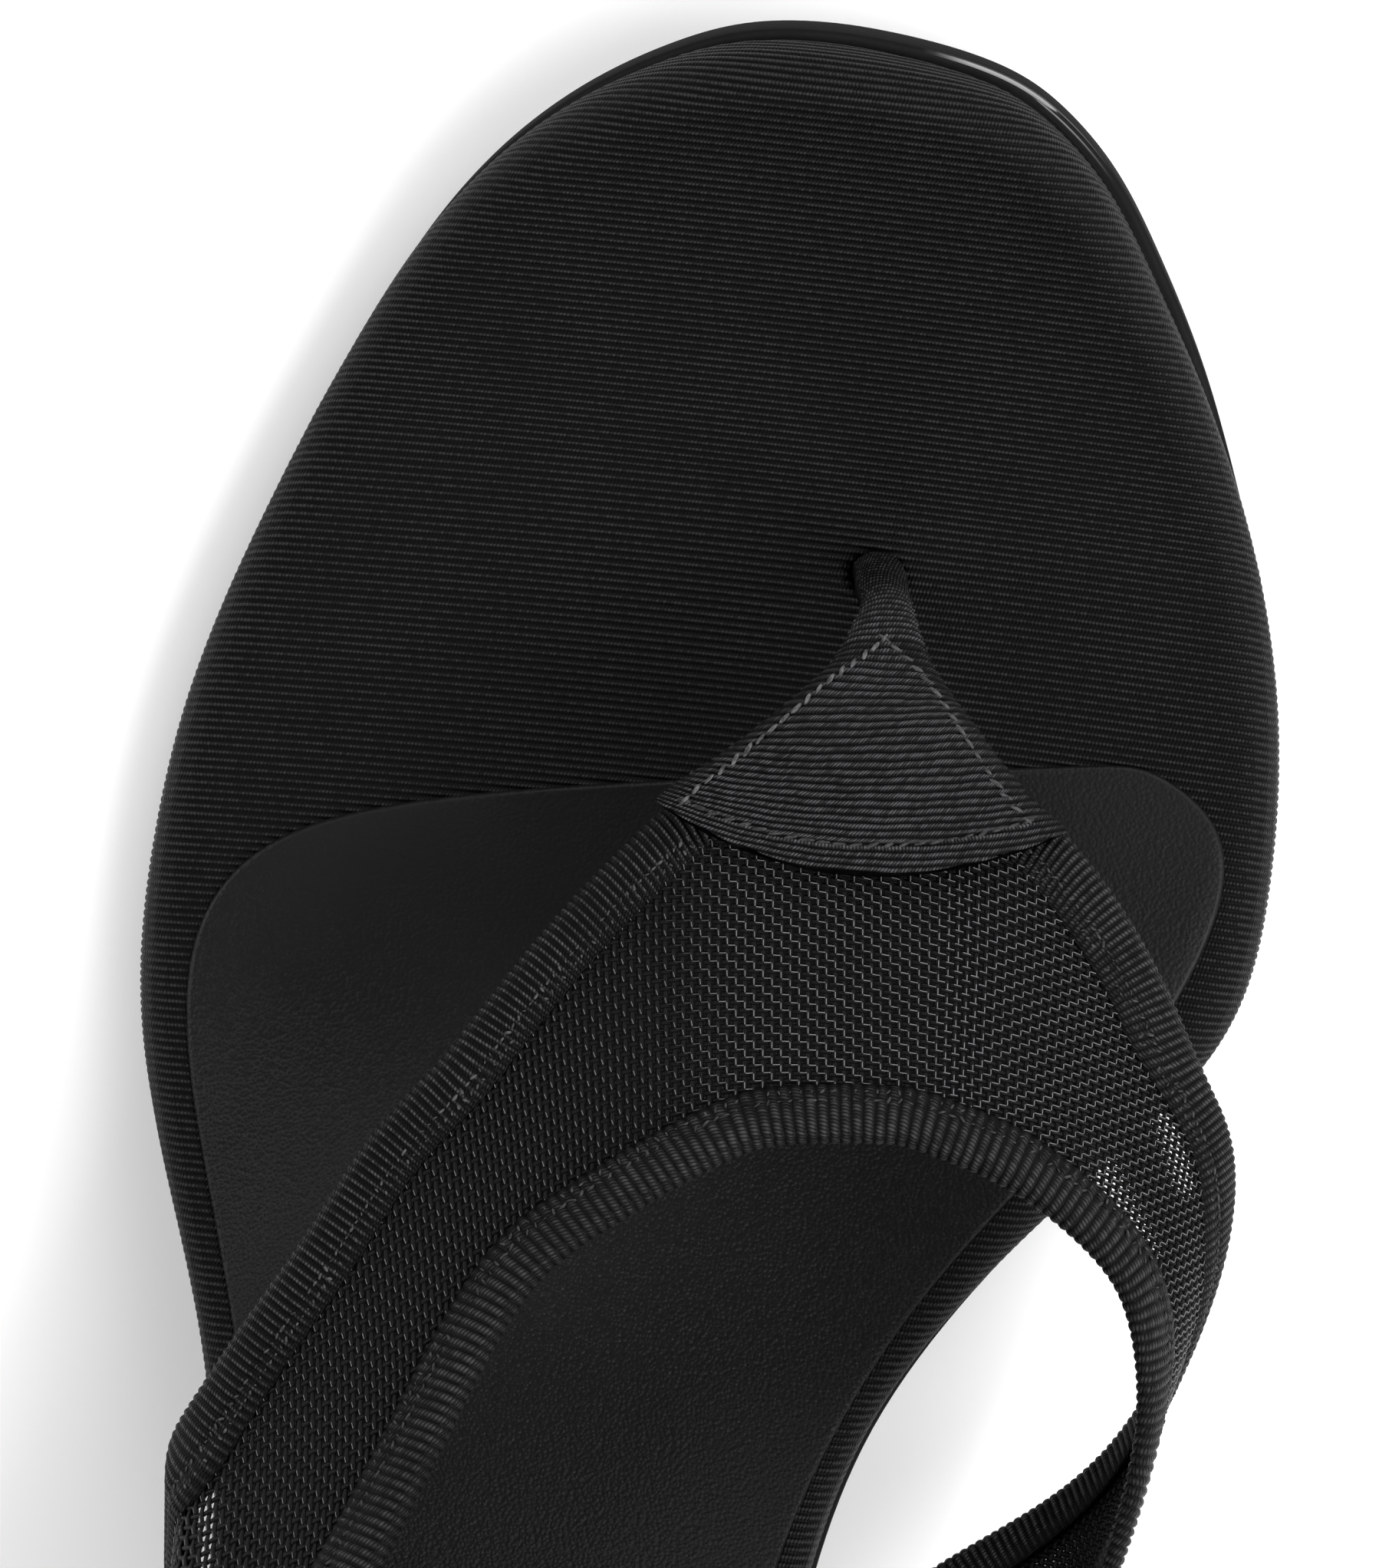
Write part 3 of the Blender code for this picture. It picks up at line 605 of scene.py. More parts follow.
def last_point(back, around):
    """Point on the last."""
    back, around = np.broadcast_arrays(np.asarray(back, float), np.asarray(around, float))
    part = {name: at(back) for name, at in LAST_CURVES.items()}
    medial = around <= 90.0
    reach = np.where(medial, part["medial"], part["lateral"])
    edge = OUTLINE.across(back, medial)
    feather = tread(back) + OUTSOLE_THICKNESS + GAP + STRAP_WALL / 2.0
    angle = np.radians(around)
    side = np.abs(np.cos(angle))
    rise = np.abs(np.sin(angle))
    over = np.where(medial, rise, lean_rise(rise))
    under = np.where(medial, side, side * (1.0 + LATERAL_TUCK * (1.0 - side)))
    crest = part["crest_across"]
    low_height = part["reach_height"] - (part["reach_height"] - feather) * rise
    top_height = part["reach_height"] + (part["crest_height"] - part["reach_height"]) * over
    top = np.stack([crest + (reach - crest) * side, back, top_height], axis=-1)
    low = np.stack([edge + (reach - edge) * under, back, low_height], axis=-1)
    inward = np.where(medial, -90.0 - around, around - 270.0) * FLAP_PER_DEGREE
    flap = np.stack([edge - np.where(medial, inward, -inward), back, feather], axis=-1)
    upper = (around >= 0.0) & (around <= 180.0)
    point = np.where(upper[..., None], top, low)
    return np.where((inward > 0.0)[..., None], flap, point)


def last_height(across, back):
    """Height of the last over the instep at a point seen from above."""
    part = {name: at(back) for name, at in LAST_CURVES.items()}
    medial = across >= part["crest_across"]
    reach = np.where(medial, part["medial"], part["lateral"])
    share = np.clip((across - part["crest_across"]) / (reach - part["crest_across"]), 0.0, 1.0)
    rise = np.sqrt(1.0 - share**2)
    over = np.where(medial, rise, lean_rise(rise))
    return part["reach_height"] + (part["crest_height"] - part["reach_height"]) * over


def outward(over, along):
    """Unit normals from two directions on a surface."""
    normal = np.cross(over, along)
    return normal / np.maximum(np.linalg.norm(normal, axis=-1, keepdims=True), 1e-9)


def last_frame(back, around):
    """Point on the last with its outward normal."""
    step = 0.05
    along = last_point(back, around + step) - last_point(back, around - step)
    over = last_point(back + step, around) - last_point(back - step, around)
    return last_point(back, around), outward(over, along)


def strap_point(row, cross):
    """Point on the middle of the strap: row along it, cross from front edge (0) to rear edge (1)."""
    part = {name: at(row) for name, at in STRAP_CURVES.items()}
    around = part["front_around"] + (part["rear_around"] - part["front_around"]) * cross
    back = part["front_back"] + (part["rear_back"] - part["front_back"]) * cross
    return last_point(back, around)


def strap_frame(row, cross):
    """Strap point with its outward normal."""
    step = 0.004
    along = strap_point(row + step, cross) - strap_point(row - step, cross)
    over = strap_point(row, cross + step) - strap_point(row, cross - step)
    return strap_point(row, cross), outward(over, along)


def strap_rows(first, last, spacing, cross):
    """Rows along one line of the strap at an even spacing."""
    fine = np.linspace(first, last, EDGE_SAMPLES)
    run = lengths(strap_point(fine, np.full_like(fine, cross)))
    count = max(int(round(run[-1] / spacing)), 2)
    return np.interp(np.linspace(0.0, run[-1], count + 1), run, fine)


def row_at(column, around):
    """Strap row at which an edge reaches an angle round the last."""
    fine = np.linspace(0.0, STRAP_ROWS[-1], ROW_SAMPLES)
    return np.interp(around, STRAP_CURVES[column](fine), fine)


def inside_edge(rows, edge, inset):
    """Row and cross share an inset in from an edge of the strap: square to it, then along the sole."""
    step = 0.02
    sign = 1.0 - 2.0 * edge
    line = np.full_like(rows, edge)
    over = (strap_point(rows, line + sign * step) - strap_point(rows, line)) / step
    along = (strap_point(rows + step, line) - strap_point(rows - step, line)) / (2.0 * step)
    pace = np.linalg.norm(along, axis=-1)
    skew = np.sum(over * along, axis=-1) / pace * (1.0 - ease(rows, *EDGE_SETTLE))
    square = over - (skew / pace)[:, None] * along
    share = 1.0 / np.linalg.norm(square, axis=-1)
    moved = rows - inset * smooth(share * skew / pace, EDGE_BLEND)
    return np.maximum.accumulate(moved), edge + sign * inset * smooth(share, EDGE_BLEND)


def smooth(values, width):
    """Moving average along a line, with its ends held."""
    return np.convolve(np.pad(values, width // 2, mode="edge"), np.full(width, 1.0 / width), mode="valid")


def lengths(points):
    """Running length along a row of points."""
    steps = np.linalg.norm(np.diff(points, axis=0), axis=-1)
    return np.concatenate([np.zeros_like(steps[:1]), np.cumsum(steps, axis=0)])


def to_frame(points):
    """Millimetres behind the toe to metres in the shared frame."""
    points = np.asarray(points, float).reshape(-1, 3)
    across = points[:, 0] - MID_ACROSS
    return np.stack([across, SHOE_LENGTH / 2.0 - points[:, 1], points[:, 2]], axis=1) * MM


def turn_to_frame(directions):
    """Directions behind the toe to directions in the shared frame."""
    return np.asarray(directions, float).reshape(-1, 3) * (1.0, -1.0, 1.0)


def grid_faces(rows, columns, closed=False):
    """Quads of a net of points, closed round its columns or open."""
    last = columns if closed else columns - 1
    r, c = np.meshgrid(np.arange(rows - 1), np.arange(last), indexing="ij")
    here = r * columns + c
    beside = r * columns + (c + 1) % columns
    return np.stack([here, here + columns, beside + columns, beside], axis=-1).reshape(-1, 4).tolist()


def mark_points(mesh, name, values):
    """Stores a vector for each point."""
    layer = mesh.attributes.new(name, "FLOAT_VECTOR", "POINT")
    layer.data.foreach_set("vector", np.asarray(values, np.float32).ravel())


def make_object(name, points, faces, edges=(), weave=None, lie=None, closed=True):
    """New object from points in millimetres, with its weave and lie directions."""
    mesh = bpy.data.meshes.new(name)
    mesh.from_pydata(to_frame(points).tolist(), list(edges), faces)
    if weave is not None:
        mark_points(mesh, "weave", weave)
    if lie is not None:
        mark_points(mesh, "lie", turn_to_frame(lie))
    if closed:
        work = bmesh.new()
        work.from_mesh(mesh)
        bmesh.ops.recalc_face_normals(work, faces=work.faces)
        work.to_mesh(mesh)
        work.free()
    if faces:
        mesh.shade_smooth()
    made = bpy.data.objects.new(name, mesh)
    bpy.context.scene.collection.objects.link(made)
    return made


def settle(made, slot, *nodes):
    """Hands a finished piece to the frame."""
    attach(made, BODY)
    if nodes:
        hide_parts(*nodes)


def finish_plain(made, surface, slot, *nodes):
    """Gives a piece its surface and hands it over."""
    made.data.materials.append(surface)
    made.data.set_sharp_from_angle(angle=math.radians(SHARP_ANGLE))
    settle(made, slot, *nodes)


class Wiring:
    """Adds nodes to a tree and feeds their sockets."""

    def __init__(self, tree):
        self.tree = tree

    def add(self, kind, feeds=None, **settings):
        """New node with its settings, fed by values or by other sockets."""
        node = self.tree.nodes.new(kind)
        for key, value in settings.items():
            setattr(node, key, value)
        for key, value in (feeds or {}).items():
            self.feed(node.inputs[key], value)
        return node

    def feed(self, socket, value):
        """Links a socket to another one, or sets its value."""
        if isinstance(value, bpy.types.NodeSocket):
            self.tree.links.new(value, socket)
        else:
            socket.default_value = value

    def math(self, operation, first, second=0.0, third=0.0):
        """Result of one operation on numbers."""
        feeds = {0: first, 1: second, 2: third}
        return self.add("ShaderNodeMath", feeds, operation=operation).outputs[0]

    def parts(self, vector):
        """The three parts of a vector."""
        return self.add("ShaderNodeSeparateXYZ", {"Vector": vector}).outputs

    def joined(self, x, y, z):
        """Vector from its three parts."""
        return self.add("ShaderNodeCombineXYZ", {"X": x, "Y": y, "Z": z}).outputs[0]

    def scaled(self, vector, scale):
        """Vector made longer or shorter."""
        return self.add("ShaderNodeVectorMath", {0: vector, "Scale": scale}, operation="SCALE").outputs[0]

    def stored(self, name):
        """Vector that a geometry tree finds stored on the points."""
        node = self.add("GeometryNodeInputNamedAttribute", {"Name": name}, data_type="FLOAT_VECTOR")
        return node.outputs["Attribute"]

    def weave(self):
        """Parts of the weave, as a material finds it."""
        return self.parts(self.add("ShaderNodeAttribute", attribute_name="weave").outputs["Vector"])

    def place(self):
        """The piece's own coordinates."""
        return self.add("ShaderNodeTexCoord").outputs["Object"]

    def noise(self, scale, detail=2.0):
        """Fine noise on the piece's own coordinates."""
        feeds = {"Vector": self.place(), "Scale": scale, "Detail": detail}
        return self.add("ShaderNodeTexNoise", feeds).outputs["Fac"]

    def spread(self, value, low, high):
        """Stretches a value from 0..1 to another range."""
        return self.math("MULTIPLY_ADD", value, high - low, low)

    def shades(self, factor, dark, light):
        """Mix of two colours: sockets 0, 6 and 7 take the factor and the colours, and 2 gives the mix."""
        feeds = {0: factor, 6: (*dark, 1.0), 7: (*light, 1.0)}
        return self.add("ShaderNodeMix", feeds, data_type="RGBA").outputs[2]

    def bump(self, height, strength, depth):
        """Bump from a height, with its depth in millimetres."""
        feeds = {"Height": height, "Strength": strength, "Distance": depth * MM}
        return self.add("ShaderNodeBump", feeds).outputs["Normal"]


def new_tree(name, inputs):
    """Geometry tree with named inputs; returns its wiring, its inputs and its output socket."""
    tree = bpy.data.node_groups.new(name, "GeometryNodeTree")
    tree.interface.new_socket("Geometry", in_out="INPUT", socket_type="NodeSocketGeometry")
    for label, kind in inputs.items():
        tree.interface.new_socket(label, in_out="INPUT", socket_type="NodeSocket" + kind)
    tree.interface.new_socket("Geometry", in_out="OUTPUT", socket_type="NodeSocketGeometry")
    wires = Wiring(tree)
    source = wires.add("NodeGroupInput").outputs
    target = wires.add("NodeGroupOutput").inputs["Geometry"]
    return wires, source, target


def close_tree(wires, geometry, source, target):
    """Smooth shading, realized instances and the material, at the end of every tree."""
    smoothed = wires.add("GeometryNodeSetShadeSmooth", {"Geometry": geometry}).outputs[0]
    real = wires.add("GeometryNodeRealizeInstances", {"Geometry": smoothed}).outputs[0]
    feeds = {"Geometry": real, "Material": source["Material"]}
    wires.feed(target, wires.add("GeometryNodeSetMaterial", feeds).outputs[0])
    return wires.tree


def ribbed_tree():
    """Raises woven ribs: weave holds the length along a rib, the rib count and the ribs' strength."""
    inputs = {"Rib Height": "Float", "Unevenness": "Float", "Material": "Material"}
    wires, source, target = new_tree("ribbed_cloth", inputs)
    part = wires.parts(wires.stored("weave"))
    turn = wires.math("MULTIPLY", wires.math("FRACT", part["Y"]), math.pi)
    crest = wires.math("POWER", wires.math("ABSOLUTE", wires.math("SINE", turn)), RIB_ROUNDNESS)
    noise = wires.add("ShaderNodeTexNoise", {"Scale": RIB_NOISE, "Detail": 2.0}).outputs["Fac"]
    uneven = wires.math("MULTIPLY", wires.math("SUBTRACT", noise, 0.5), source["Unevenness"])
    height = wires.math("MULTIPLY", source["Rib Height"], wires.math("MINIMUM", part["Z"], 1.0))
    lift = wires.math("MULTIPLY", height, wires.math("ADD", wires.math("SUBTRACT", crest, 0.5), uneven))
    offset = wires.scaled(wires.add("GeometryNodeInputNormal").outputs[0], lift)
    moved = wires.add("GeometryNodeSetPosition", {"Geometry": source["Geometry"], "Offset": offset})
    return close_tree(wires, moved.outputs[0], source, target)


def yarn_tree():
    """Turns lines on a surface into flat yarns that lie with the surface; weave holds light and swell."""
    inputs = {"Width": "Float", "Thickness": "Float", "Sides": "Int", "Material": "Material"}
    wires, source, target = new_tree("yarn", inputs)
    path = wires.add("GeometryNodeMeshToCurve", {"Mesh": source["Geometry"]}).outputs[0]
    feeds = {"Curve": path, "Normal": wires.stored("lie")}
    path = wires.add("GeometryNodeSetCurveNormal", feeds, mode="FREE").outputs[0]
    feeds = {"Resolution": source["Sides"], "Radius": 0.5}
    section = wires.add("GeometryNodeCurvePrimitiveCircle", feeds).outputs["Curve"]
    size = wires.joined(source["Thickness"], source["Width"], 1.0)
    section = wires.add("GeometryNodeTransform", {"Geometry": section, "Scale": size}).outputs[0]
    swell = wires.parts(wires.stored("weave"))["Y"]
    feeds = {"Curve": path, "Profile Curve": section, "Scale": swell, "Fill Caps": True}
    yarn = wires.add("GeometryNodeCurveToMesh", feeds).outputs[0]
    return close_tree(wires, yarn, source, target)


def stitch_tree():
    """Lays stitches end to end along lines on a surface."""
    inputs = dict.fromkeys(("Pitch", "Length", "Width", "Slant", "Looseness"), "Float")
    wires, source, target = new_tree("stitches", {**inputs, "Material": "Material"})
    path = wires.add("GeometryNodeMeshToCurve", {"Mesh": source["Geometry"]}).outputs[0]
    feeds = {"Curve": path, "Length": source["Pitch"]}
    path = wires.add("GeometryNodeResampleCurve", feeds, mode="LENGTH").outputs[0]
    feeds = {"Vector": wires.add("GeometryNodeInputTangent").outputs[0]}
    turn = wires.add("FunctionNodeAlignRotationToVector", feeds, axis="X").outputs[0]
    feeds = {"Rotation": turn, "Vector": wires.stored("lie")}
    turn = wires.add("FunctionNodeAlignRotationToVector", feeds, axis="Z", pivot_axis="X").outputs[0]
    chance = wires.add("FunctionNodeRandomValue", {"Seed": STITCH_SEED}, data_type="FLOAT_VECTOR")
    stray = [wires.math("SUBTRACT", part, 0.5) for part in wires.parts(chance.outputs["Value"])]
    stray = [wires.math("MULTIPLY", part, source["Looseness"]) for part in stray]
    angle = wires.math("MULTIPLY_ADD", stray[0], STITCH_TURN, source["Slant"])
    swell = wires.math("MULTIPLY_ADD", stray[1], STITCH_SWELL, 1.0)
    feeds = {"Axis": (0.0, 0.0, 1.0), "Angle": angle}
    slant = wires.add("FunctionNodeAxisAngleToRotation", feeds).outputs[0]
    feeds = {"Rotation": turn, "Rotate By": slant}
    turn = wires.add("FunctionNodeRotateRotation", feeds, rotation_space="LOCAL").outputs[0]
    feeds = {"Segments": 8, "Rings": 6, "Radius": 0.5}
    ball = wires.add("GeometryNodeMeshUVSphere", feeds).outputs["Mesh"]
    size = wires.scaled(wires.joined(source["Length"], source["Width"], source["Width"]), swell)
    feeds = {"Points": path, "Instance": ball, "Rotation": turn, "Scale": size}
    rows = wires.add("GeometryNodeInstanceOnPoints", feeds).outputs[0]
    return close_tree(wires, rows, source, target)


def grow(made, name, builder, values):
    """Runs a geometry tree, built once, on an object and keeps the result as a plain mesh."""
    tree = bpy.data.node_groups.get(name) or builder()
    step = made.modifiers.new(tree.name, "NODES")
    step.node_group = tree
    for socket in tree.interface.items_tree:
        if socket.in_out == "INPUT" and socket.name in values:
            step[socket.identifier] = values[socket.name]
    graph = bpy.context.evaluated_depsgraph_get()
    result = bpy.data.meshes.new_from_object(
        made.evaluated_get(graph), preserve_all_data_layers=True, depsgraph=graph
    )
    made.modifiers.remove(step)
    spare = made.data
    made.data = result
    bpy.data.meshes.remove(spare)
    result.name = made.name


def finish_ribbed(made, surface, height, unevenness, slot, node):
    """Raises the ribs of a cloth piece and hands it over."""
    values = {"Rib Height": height, "Unevenness": unevenness, "Material": surface}
    grow(made, "ribbed_cloth", ribbed_tree, values)
    settle(made, slot, node)


def lay_yarns(name, lines, weave, surface, width, thickness, *nodes):
    """Makes yarns along lines of the mesh and hands them over."""
    points, normals, edges = lines
    made = make_object(name, points, [], edges.tolist(), weave=weave, lie=normals, closed=False)
    values = {"Width": width, "Thickness": thickness, "Sides": YARN_SIDES, "Material": surface}
    grow(made, "yarn", yarn_tree, values)
    settle(made, "mesh_cloth", *nodes)


def sew(name, path, normals, surface, slot, pitch, seam):
    """Makes stitches along a line of points with its normals and hands them over."""
    edges = [(i, i + 1) for i in range(len(path) - 1)]
    made = make_object(name, path, [], edges, lie=normals, closed=False)
    values = {"Pitch": pitch, "Length": seam["fill"] * pitch, "Width": seam["width"] * MM}
    values.update({"Slant": seam["slant"], "Looseness": seam["loose"], "Material": surface})
    grow(made, "stitches", stitch_tree, values)
    settle(made, slot)


def new_surface(name, look):
    """Material with its wiring and its shader's sockets."""
    made = bpy.data.materials.new(name)
    made.use_nodes = True
    shader = made.node_tree.nodes["Principled BSDF"].inputs
    shader["Specular IOR Level"].default_value = look["specular"]
    return made, Wiring(made.node_tree), shader


def dimmed(colour, share):
    """Darker shade of a colour."""
    return tuple(share * value for value in colour)


def ribbed_surface(name, dark, light, yarn_pitch, sharp, slant, blunt):
    """Ribbed cloth: rows of fine slanting yarns that wrap each rib; the light colour on each rib's crest is
    a painted highlight broken into yarn dots, and between the ribs the cloth keeps its dark colour.
    """
    look = CLOTH_FINISH
    made, wires, shader = new_surface(name, look)
    part = wires.weave()
    rib = wires.math("FLOOR", part["Y"])
    turn = wires.math("FRACT", part["Y"])
    crest = wires.math("SINE", wires.math("MULTIPLY", turn, math.pi))
    skew = wires.math("MULTIPLY_ADD", turn, slant, wires.math("MULTIPLY", rib, look["stagger"]))
    along = wires.math("ADD", wires.math("DIVIDE", part["X"], yarn_pitch), skew)
    bead = wires.math("SINE", wires.math("MULTIPLY", wires.math("FRACT", along), math.pi))
    bead = wires.math("POWER", bead, blunt)
    fuzz = wires.noise(look["fuzz"])
    cell = {"Vector": wires.joined(wires.math("FLOOR", along), rib, 0.0)}
    dash = wires.add("ShaderNodeTexWhiteNoise", cell, noise_dimensions="3D").outputs["Value"]
    # Painted highlight on each rib's crest, broken up by the yarn beads, random dashes and patches, and
    # scaled by the weave's third part
    lit = wires.math("MULTIPLY", wires.math("POWER", crest, sharp), bead)
    for share in (
        wires.spread(dash, *look["dash"]),
        wires.spread(wires.noise(look["patch"]), *look["worn"]),
        wires.spread(fuzz, *look["worn"]),
        part["Z"],
    ):
        lit = wires.math("MULTIPLY", lit, share)
    wires.feed(shader["Base Color"], wires.shades(lit, dark, light))
    wires.feed(shader["Roughness"], wires.spread(fuzz, *look["roughness"]))
    height = wires.math("MULTIPLY_ADD", fuzz, look["fuzz_share"], wires.math("MULTIPLY", crest, bead))
    wires.feed(shader["Normal"], wires.bump(height, look["bump"], look["depth"]))
    return made


def yarn_surface(name, dark, light, roughness):
    """Smooth drawn yarn; weave holds how far its colour goes from the dark one to the light one, which on
    the mesh floats is a painted highlight.
    """
    look = YARN_FINISH
    made, wires, shader = new_surface(name, look)
    grain = wires.noise(look["grain"])
    lit = wires.math("MULTIPLY", wires.weave()["X"], wires.spread(grain, *look["lit"]))
    wires.feed(shader["Base Color"], wires.shades(lit, dark, light))
    span = look["roughness_span"]
    wires.feed(shader["Roughness"], wires.spread(grain, roughness - span, roughness + span))
    return made


def thread_surface(name, colour):
    """Twisted sewing thread."""
    look = THREAD_FINISH
    made, wires, shader = new_surface(name, look)
    twist = wires.spread(wires.noise(look["twist"]), *look["contrast"])
    wires.feed(shader["Base Color"], wires.shades(twist, dimmed(colour, look["dark"]), colour))
    wires.feed(shader["Normal"], wires.bump(twist, look["bump"], look["depth"]))
    shader["Roughness"].default_value = look["roughness"]
    return made


def leather_surface(name, colour):
    """Fine-grained leather with matt and slightly rubbed patches, coarser behind the forefoot."""
    look = LEATHER_FINISH
    made, wires, shader = new_surface(name, look)
    place = wires.place()
    feeds = {"Vector": place, "Scale": look["pebble"], "Randomness": 1.0}
    pebble = wires.add("ShaderNodeTexVoronoi", feeds, feature="F1").outputs["Distance"]
    fine = wires.noise(look["fine"], detail=3.0)
    height = wires.math("MULTIPLY", fine, look["fine_share"])
    height = wires.math("MULTIPLY_ADD", pebble, look["pebble_share"], height)
    wires.feed(shader["Base Color"], wires.shades(fine, dimmed(colour, look["dark"]), colour))
    wires.feed(shader["Roughness"], wires.spread(wires.noise(look["patch"]), *look["roughness"]))
    feeds = {"Value": wires.parts(place)["Y"], "From Min": look["rear"], "From Max": look["front"]}
    feeds.update({"To Min": look["rear_grain"], "To Max": look["front_grain"]})
    coarse = wires.add("ShaderNodeMapRange", feeds).outputs["Result"]
    coarse = wires.math("MULTIPLY", coarse, wires.spread(wires.noise(look["blotch"]), *look["blotches"]))
    depth = wires.math("MULTIPLY", height, coarse)
    wires.feed(shader["Normal"], wires.bump(depth, look["bump"], look["depth"]))
    return made


def sole_surface(name, colour):
    """Dressed sole: matt wall with fine lines, burnished at the toe; weave holds polish and height."""
    look = SOLE_FINISH
    made, wires, shader = new_surface(name, look)
    scuff = wires.noise(look["scuff"], detail=5.0)
    part = wires.weave()
    line = wires.math("SINE", wires.math("MULTIPLY", part["Y"], 2.0 * math.pi / WALL_LINE))
    height = wires.math("MULTIPLY_ADD", line, look["line_share"], wires.noise(look["fine"]))
    shade = wires.math("MULTIPLY", scuff, height)
    wires.feed(shader["Base Color"], wires.shades(shade, dimmed(colour, look["dark"]), colour))
    wires.feed(shader["Roughness"], wires.spread(scuff, *look["roughness"]))
    wires.feed(shader["Normal"], wires.bump(height, look["bump"], look["depth"]))
    wires.feed(shader["Coat Weight"], part["X"])
    shader["Coat Roughness"].default_value = look["coat_roughness"]
    shader["Coat IOR"].default_value = look["coat_ior"]
    return made


def rubber_surface(name, colour):
    """Matt rubber with a fine moulded grain."""
    look = RUBBER_FINISH
    made, wires, shader = new_surface(name, look)
    fine = wires.noise(look["fine"], detail=3.0)
    wires.feed(shader["Base Color"], wires.shades(fine, dimmed(colour, look["dark"]), colour))
    wires.feed(shader["Roughness"], wires.spread(fine, *look["roughness"]))
    wires.feed(shader["Normal"], wires.bump(fine, look["bump"], look["depth"]))
    return made


def floor_surface(colour):
    """Pale matt studio floor with barely visible unevenness, kept pale far from the lights."""
    look = FLOOR_FINISH
    made, wires, shader = new_surface("studio_floor", look)
    noise = wires.noise(look["noise"])
    wires.feed(shader["Base Color"], wires.shades(noise, dimmed(colour, look["dark"]), colour))
    away = wires.add("ShaderNodeVectorMath", {0: wires.place()}, operation="LENGTH").outputs["Value"]
    feeds = {"Value": away, "From Min": look["glow_from"], "From Max": look["glow_to"]}
    glow = wires.add("ShaderNodeMapRange", feeds, interpolation_type="SMOOTHSTEP").outputs["Result"]
    wires.feed(shader["Emission Strength"], glow)
    shader["Emission Color"].default_value = (1.0, 1.0, 1.0, 1.0)
    shader["Roughness"].default_value = look["roughness"]
    return made


def toe_polish(across, back):
    """Polish on the burnished stretch of the toe's edge."""
    polish = ease(across, *POLISH_FROM) * ease(-across, -POLISH_TO[1], -POLISH_TO[0])
    return polish * ease(-back, -POLISH_BACK[1], -POLISH_BACK[0])


def slab(name, ring, rings, belly, crown, columns, polish=()):
    """Flat-lying solid: rings round its edge from the underside to the top, rows across between them.

    Each ring gives an inset and a height above the belly. Belly and crown give heights above the tread.
    Polish gives the shares of the topmost rings.
    """
    count = ring.shape[1]
    half = count // 2
    points = []
    flat = []
    for inset, rise in rings:
        across = ring[0] - inset * ring[2]
        back = ring[1] - inset * ring[3]
        flat.append((across, back))
        points.append(on_sole(across, back, belly(across, back) + rise))
    faces = grid_faces(len(rings), count, closed=True)
    shares = np.linspace(0.0, 1.0, columns + 1)[1:-1]
    total = len(rings) * count
    for level, height in ((0, belly), (len(rings) - 1, crown)):
        across, back = flat[level]
        start = level * count
        left = np.arange(1, half)
        right = count - left
        inner_across = across[left, None] + (across[right] - across[left])[:, None] * shares
        inner_back = back[left, None] + (back[right] - back[left])[:, None] * shares
        points.append(on_sole(inner_across, inner_back, height(inner_across, inner_back)).reshape(-1, 3))
        inner = total + np.arange(inner_across.size).reshape(inner_across.shape)
        total += inner_across.size
        rows = np.concatenate([start + left[:, None], inner, start + right[:, None]], axis=1)
        quads = np.stack([rows[:-1, :-1], rows[:-1, 1:], rows[1:, 1:], rows[1:, :-1]], axis=-1)
        faces.extend(quads.reshape(-1, 4).tolist())
        for tip, row in ((start, rows[0]), (start + half, rows[-1])):
            faces.extend((tip, int(row[c]), int(row[c + 1])) for c in range(columns))
    finish = np.zeros((total, 3))
    shown = (*np.zeros(len(rings) - len(polish)), *polish)
    for level, (share, (inset, rise), place) in enumerate(zip(shown, rings, flat)):
        part = slice(level * count, (level + 1) * count)
        finish[part, 0] = share * toe_polish(*place)
        finish[part, 1] = rise
    return make_object(name, np.concatenate(points), faces, weave=finish)


def rounded(inset, low, high, steps, top):
    """Quarter-round rings at a bottom or top edge."""
    turns = np.linspace(0.0, math.pi / 2.0, steps)
    if top:
        return [(inset * (1.0 - math.cos(t)), low + (high - low) * math.sin(t)) for t in turns]
    return [(inset * (1.0 - math.sin(t)), low + (high - low) * (1.0 - math.cos(t))) for t in turns]


def build_outsole(colours):
    """Thin dressed sole under the whole shoe."""
    half = OUTSOLE_BEVEL / 2.0
    rings = rounded(half, 0.0, half, ROUND_STEPS, False)
    rings += rounded(OUTSOLE_BEVEL, OUTSOLE_THICKNESS - OUTSOLE_BEVEL, OUTSOLE_THICKNESS, ROUND_STEPS, True)
    made = slab(
        "outsole_shell",
        OUTLINE.rim(OUTSOLE_STATIONS),
        rings,
        lambda across, back: np.zeros_like(across),
        lambda across, back: np.full_like(across, OUTSOLE_THICKNESS),
        OUTSOLE_COLUMNS,
        POLISH_RINGS,
    )
    finish_plain(made, sole_surface("dressed_sole", colours.sole), "smooth_sole", "outsole")


def build_sock(colours):
    """Thin leather sock on the footbed, slightly rippled."""

    def belly(across, back):
        return OUTSOLE_THICKNESS + GAP + bed_height(across, back) + GAP / 3.0 - SOCK_SINK

    def crown(across, back):
        ripple = SOCK_RIPPLE
        for wave_across, wave_back in zip(*SOCK_WAVES.values()):
            ripple = ripple * np.sin(across / wave_across + back / wave_back)
        return belly(across, back) + SOCK_THICKNESS + ripple

    rings = [(0.0, 0.0)] + rounded(SOCK_ROUND, SOCK_EDGE, SOCK_THICKNESS, ROUND_STEPS, True)
    made = slab("sock_sheet", SOCK_OUTLINE.rim(SOCK_STATIONS), rings, belly, crown, SOCK_COLUMNS)
    finish_plain(made, leather_surface("sock_leather", colours.leather), "sock_leather", "insole_sock")


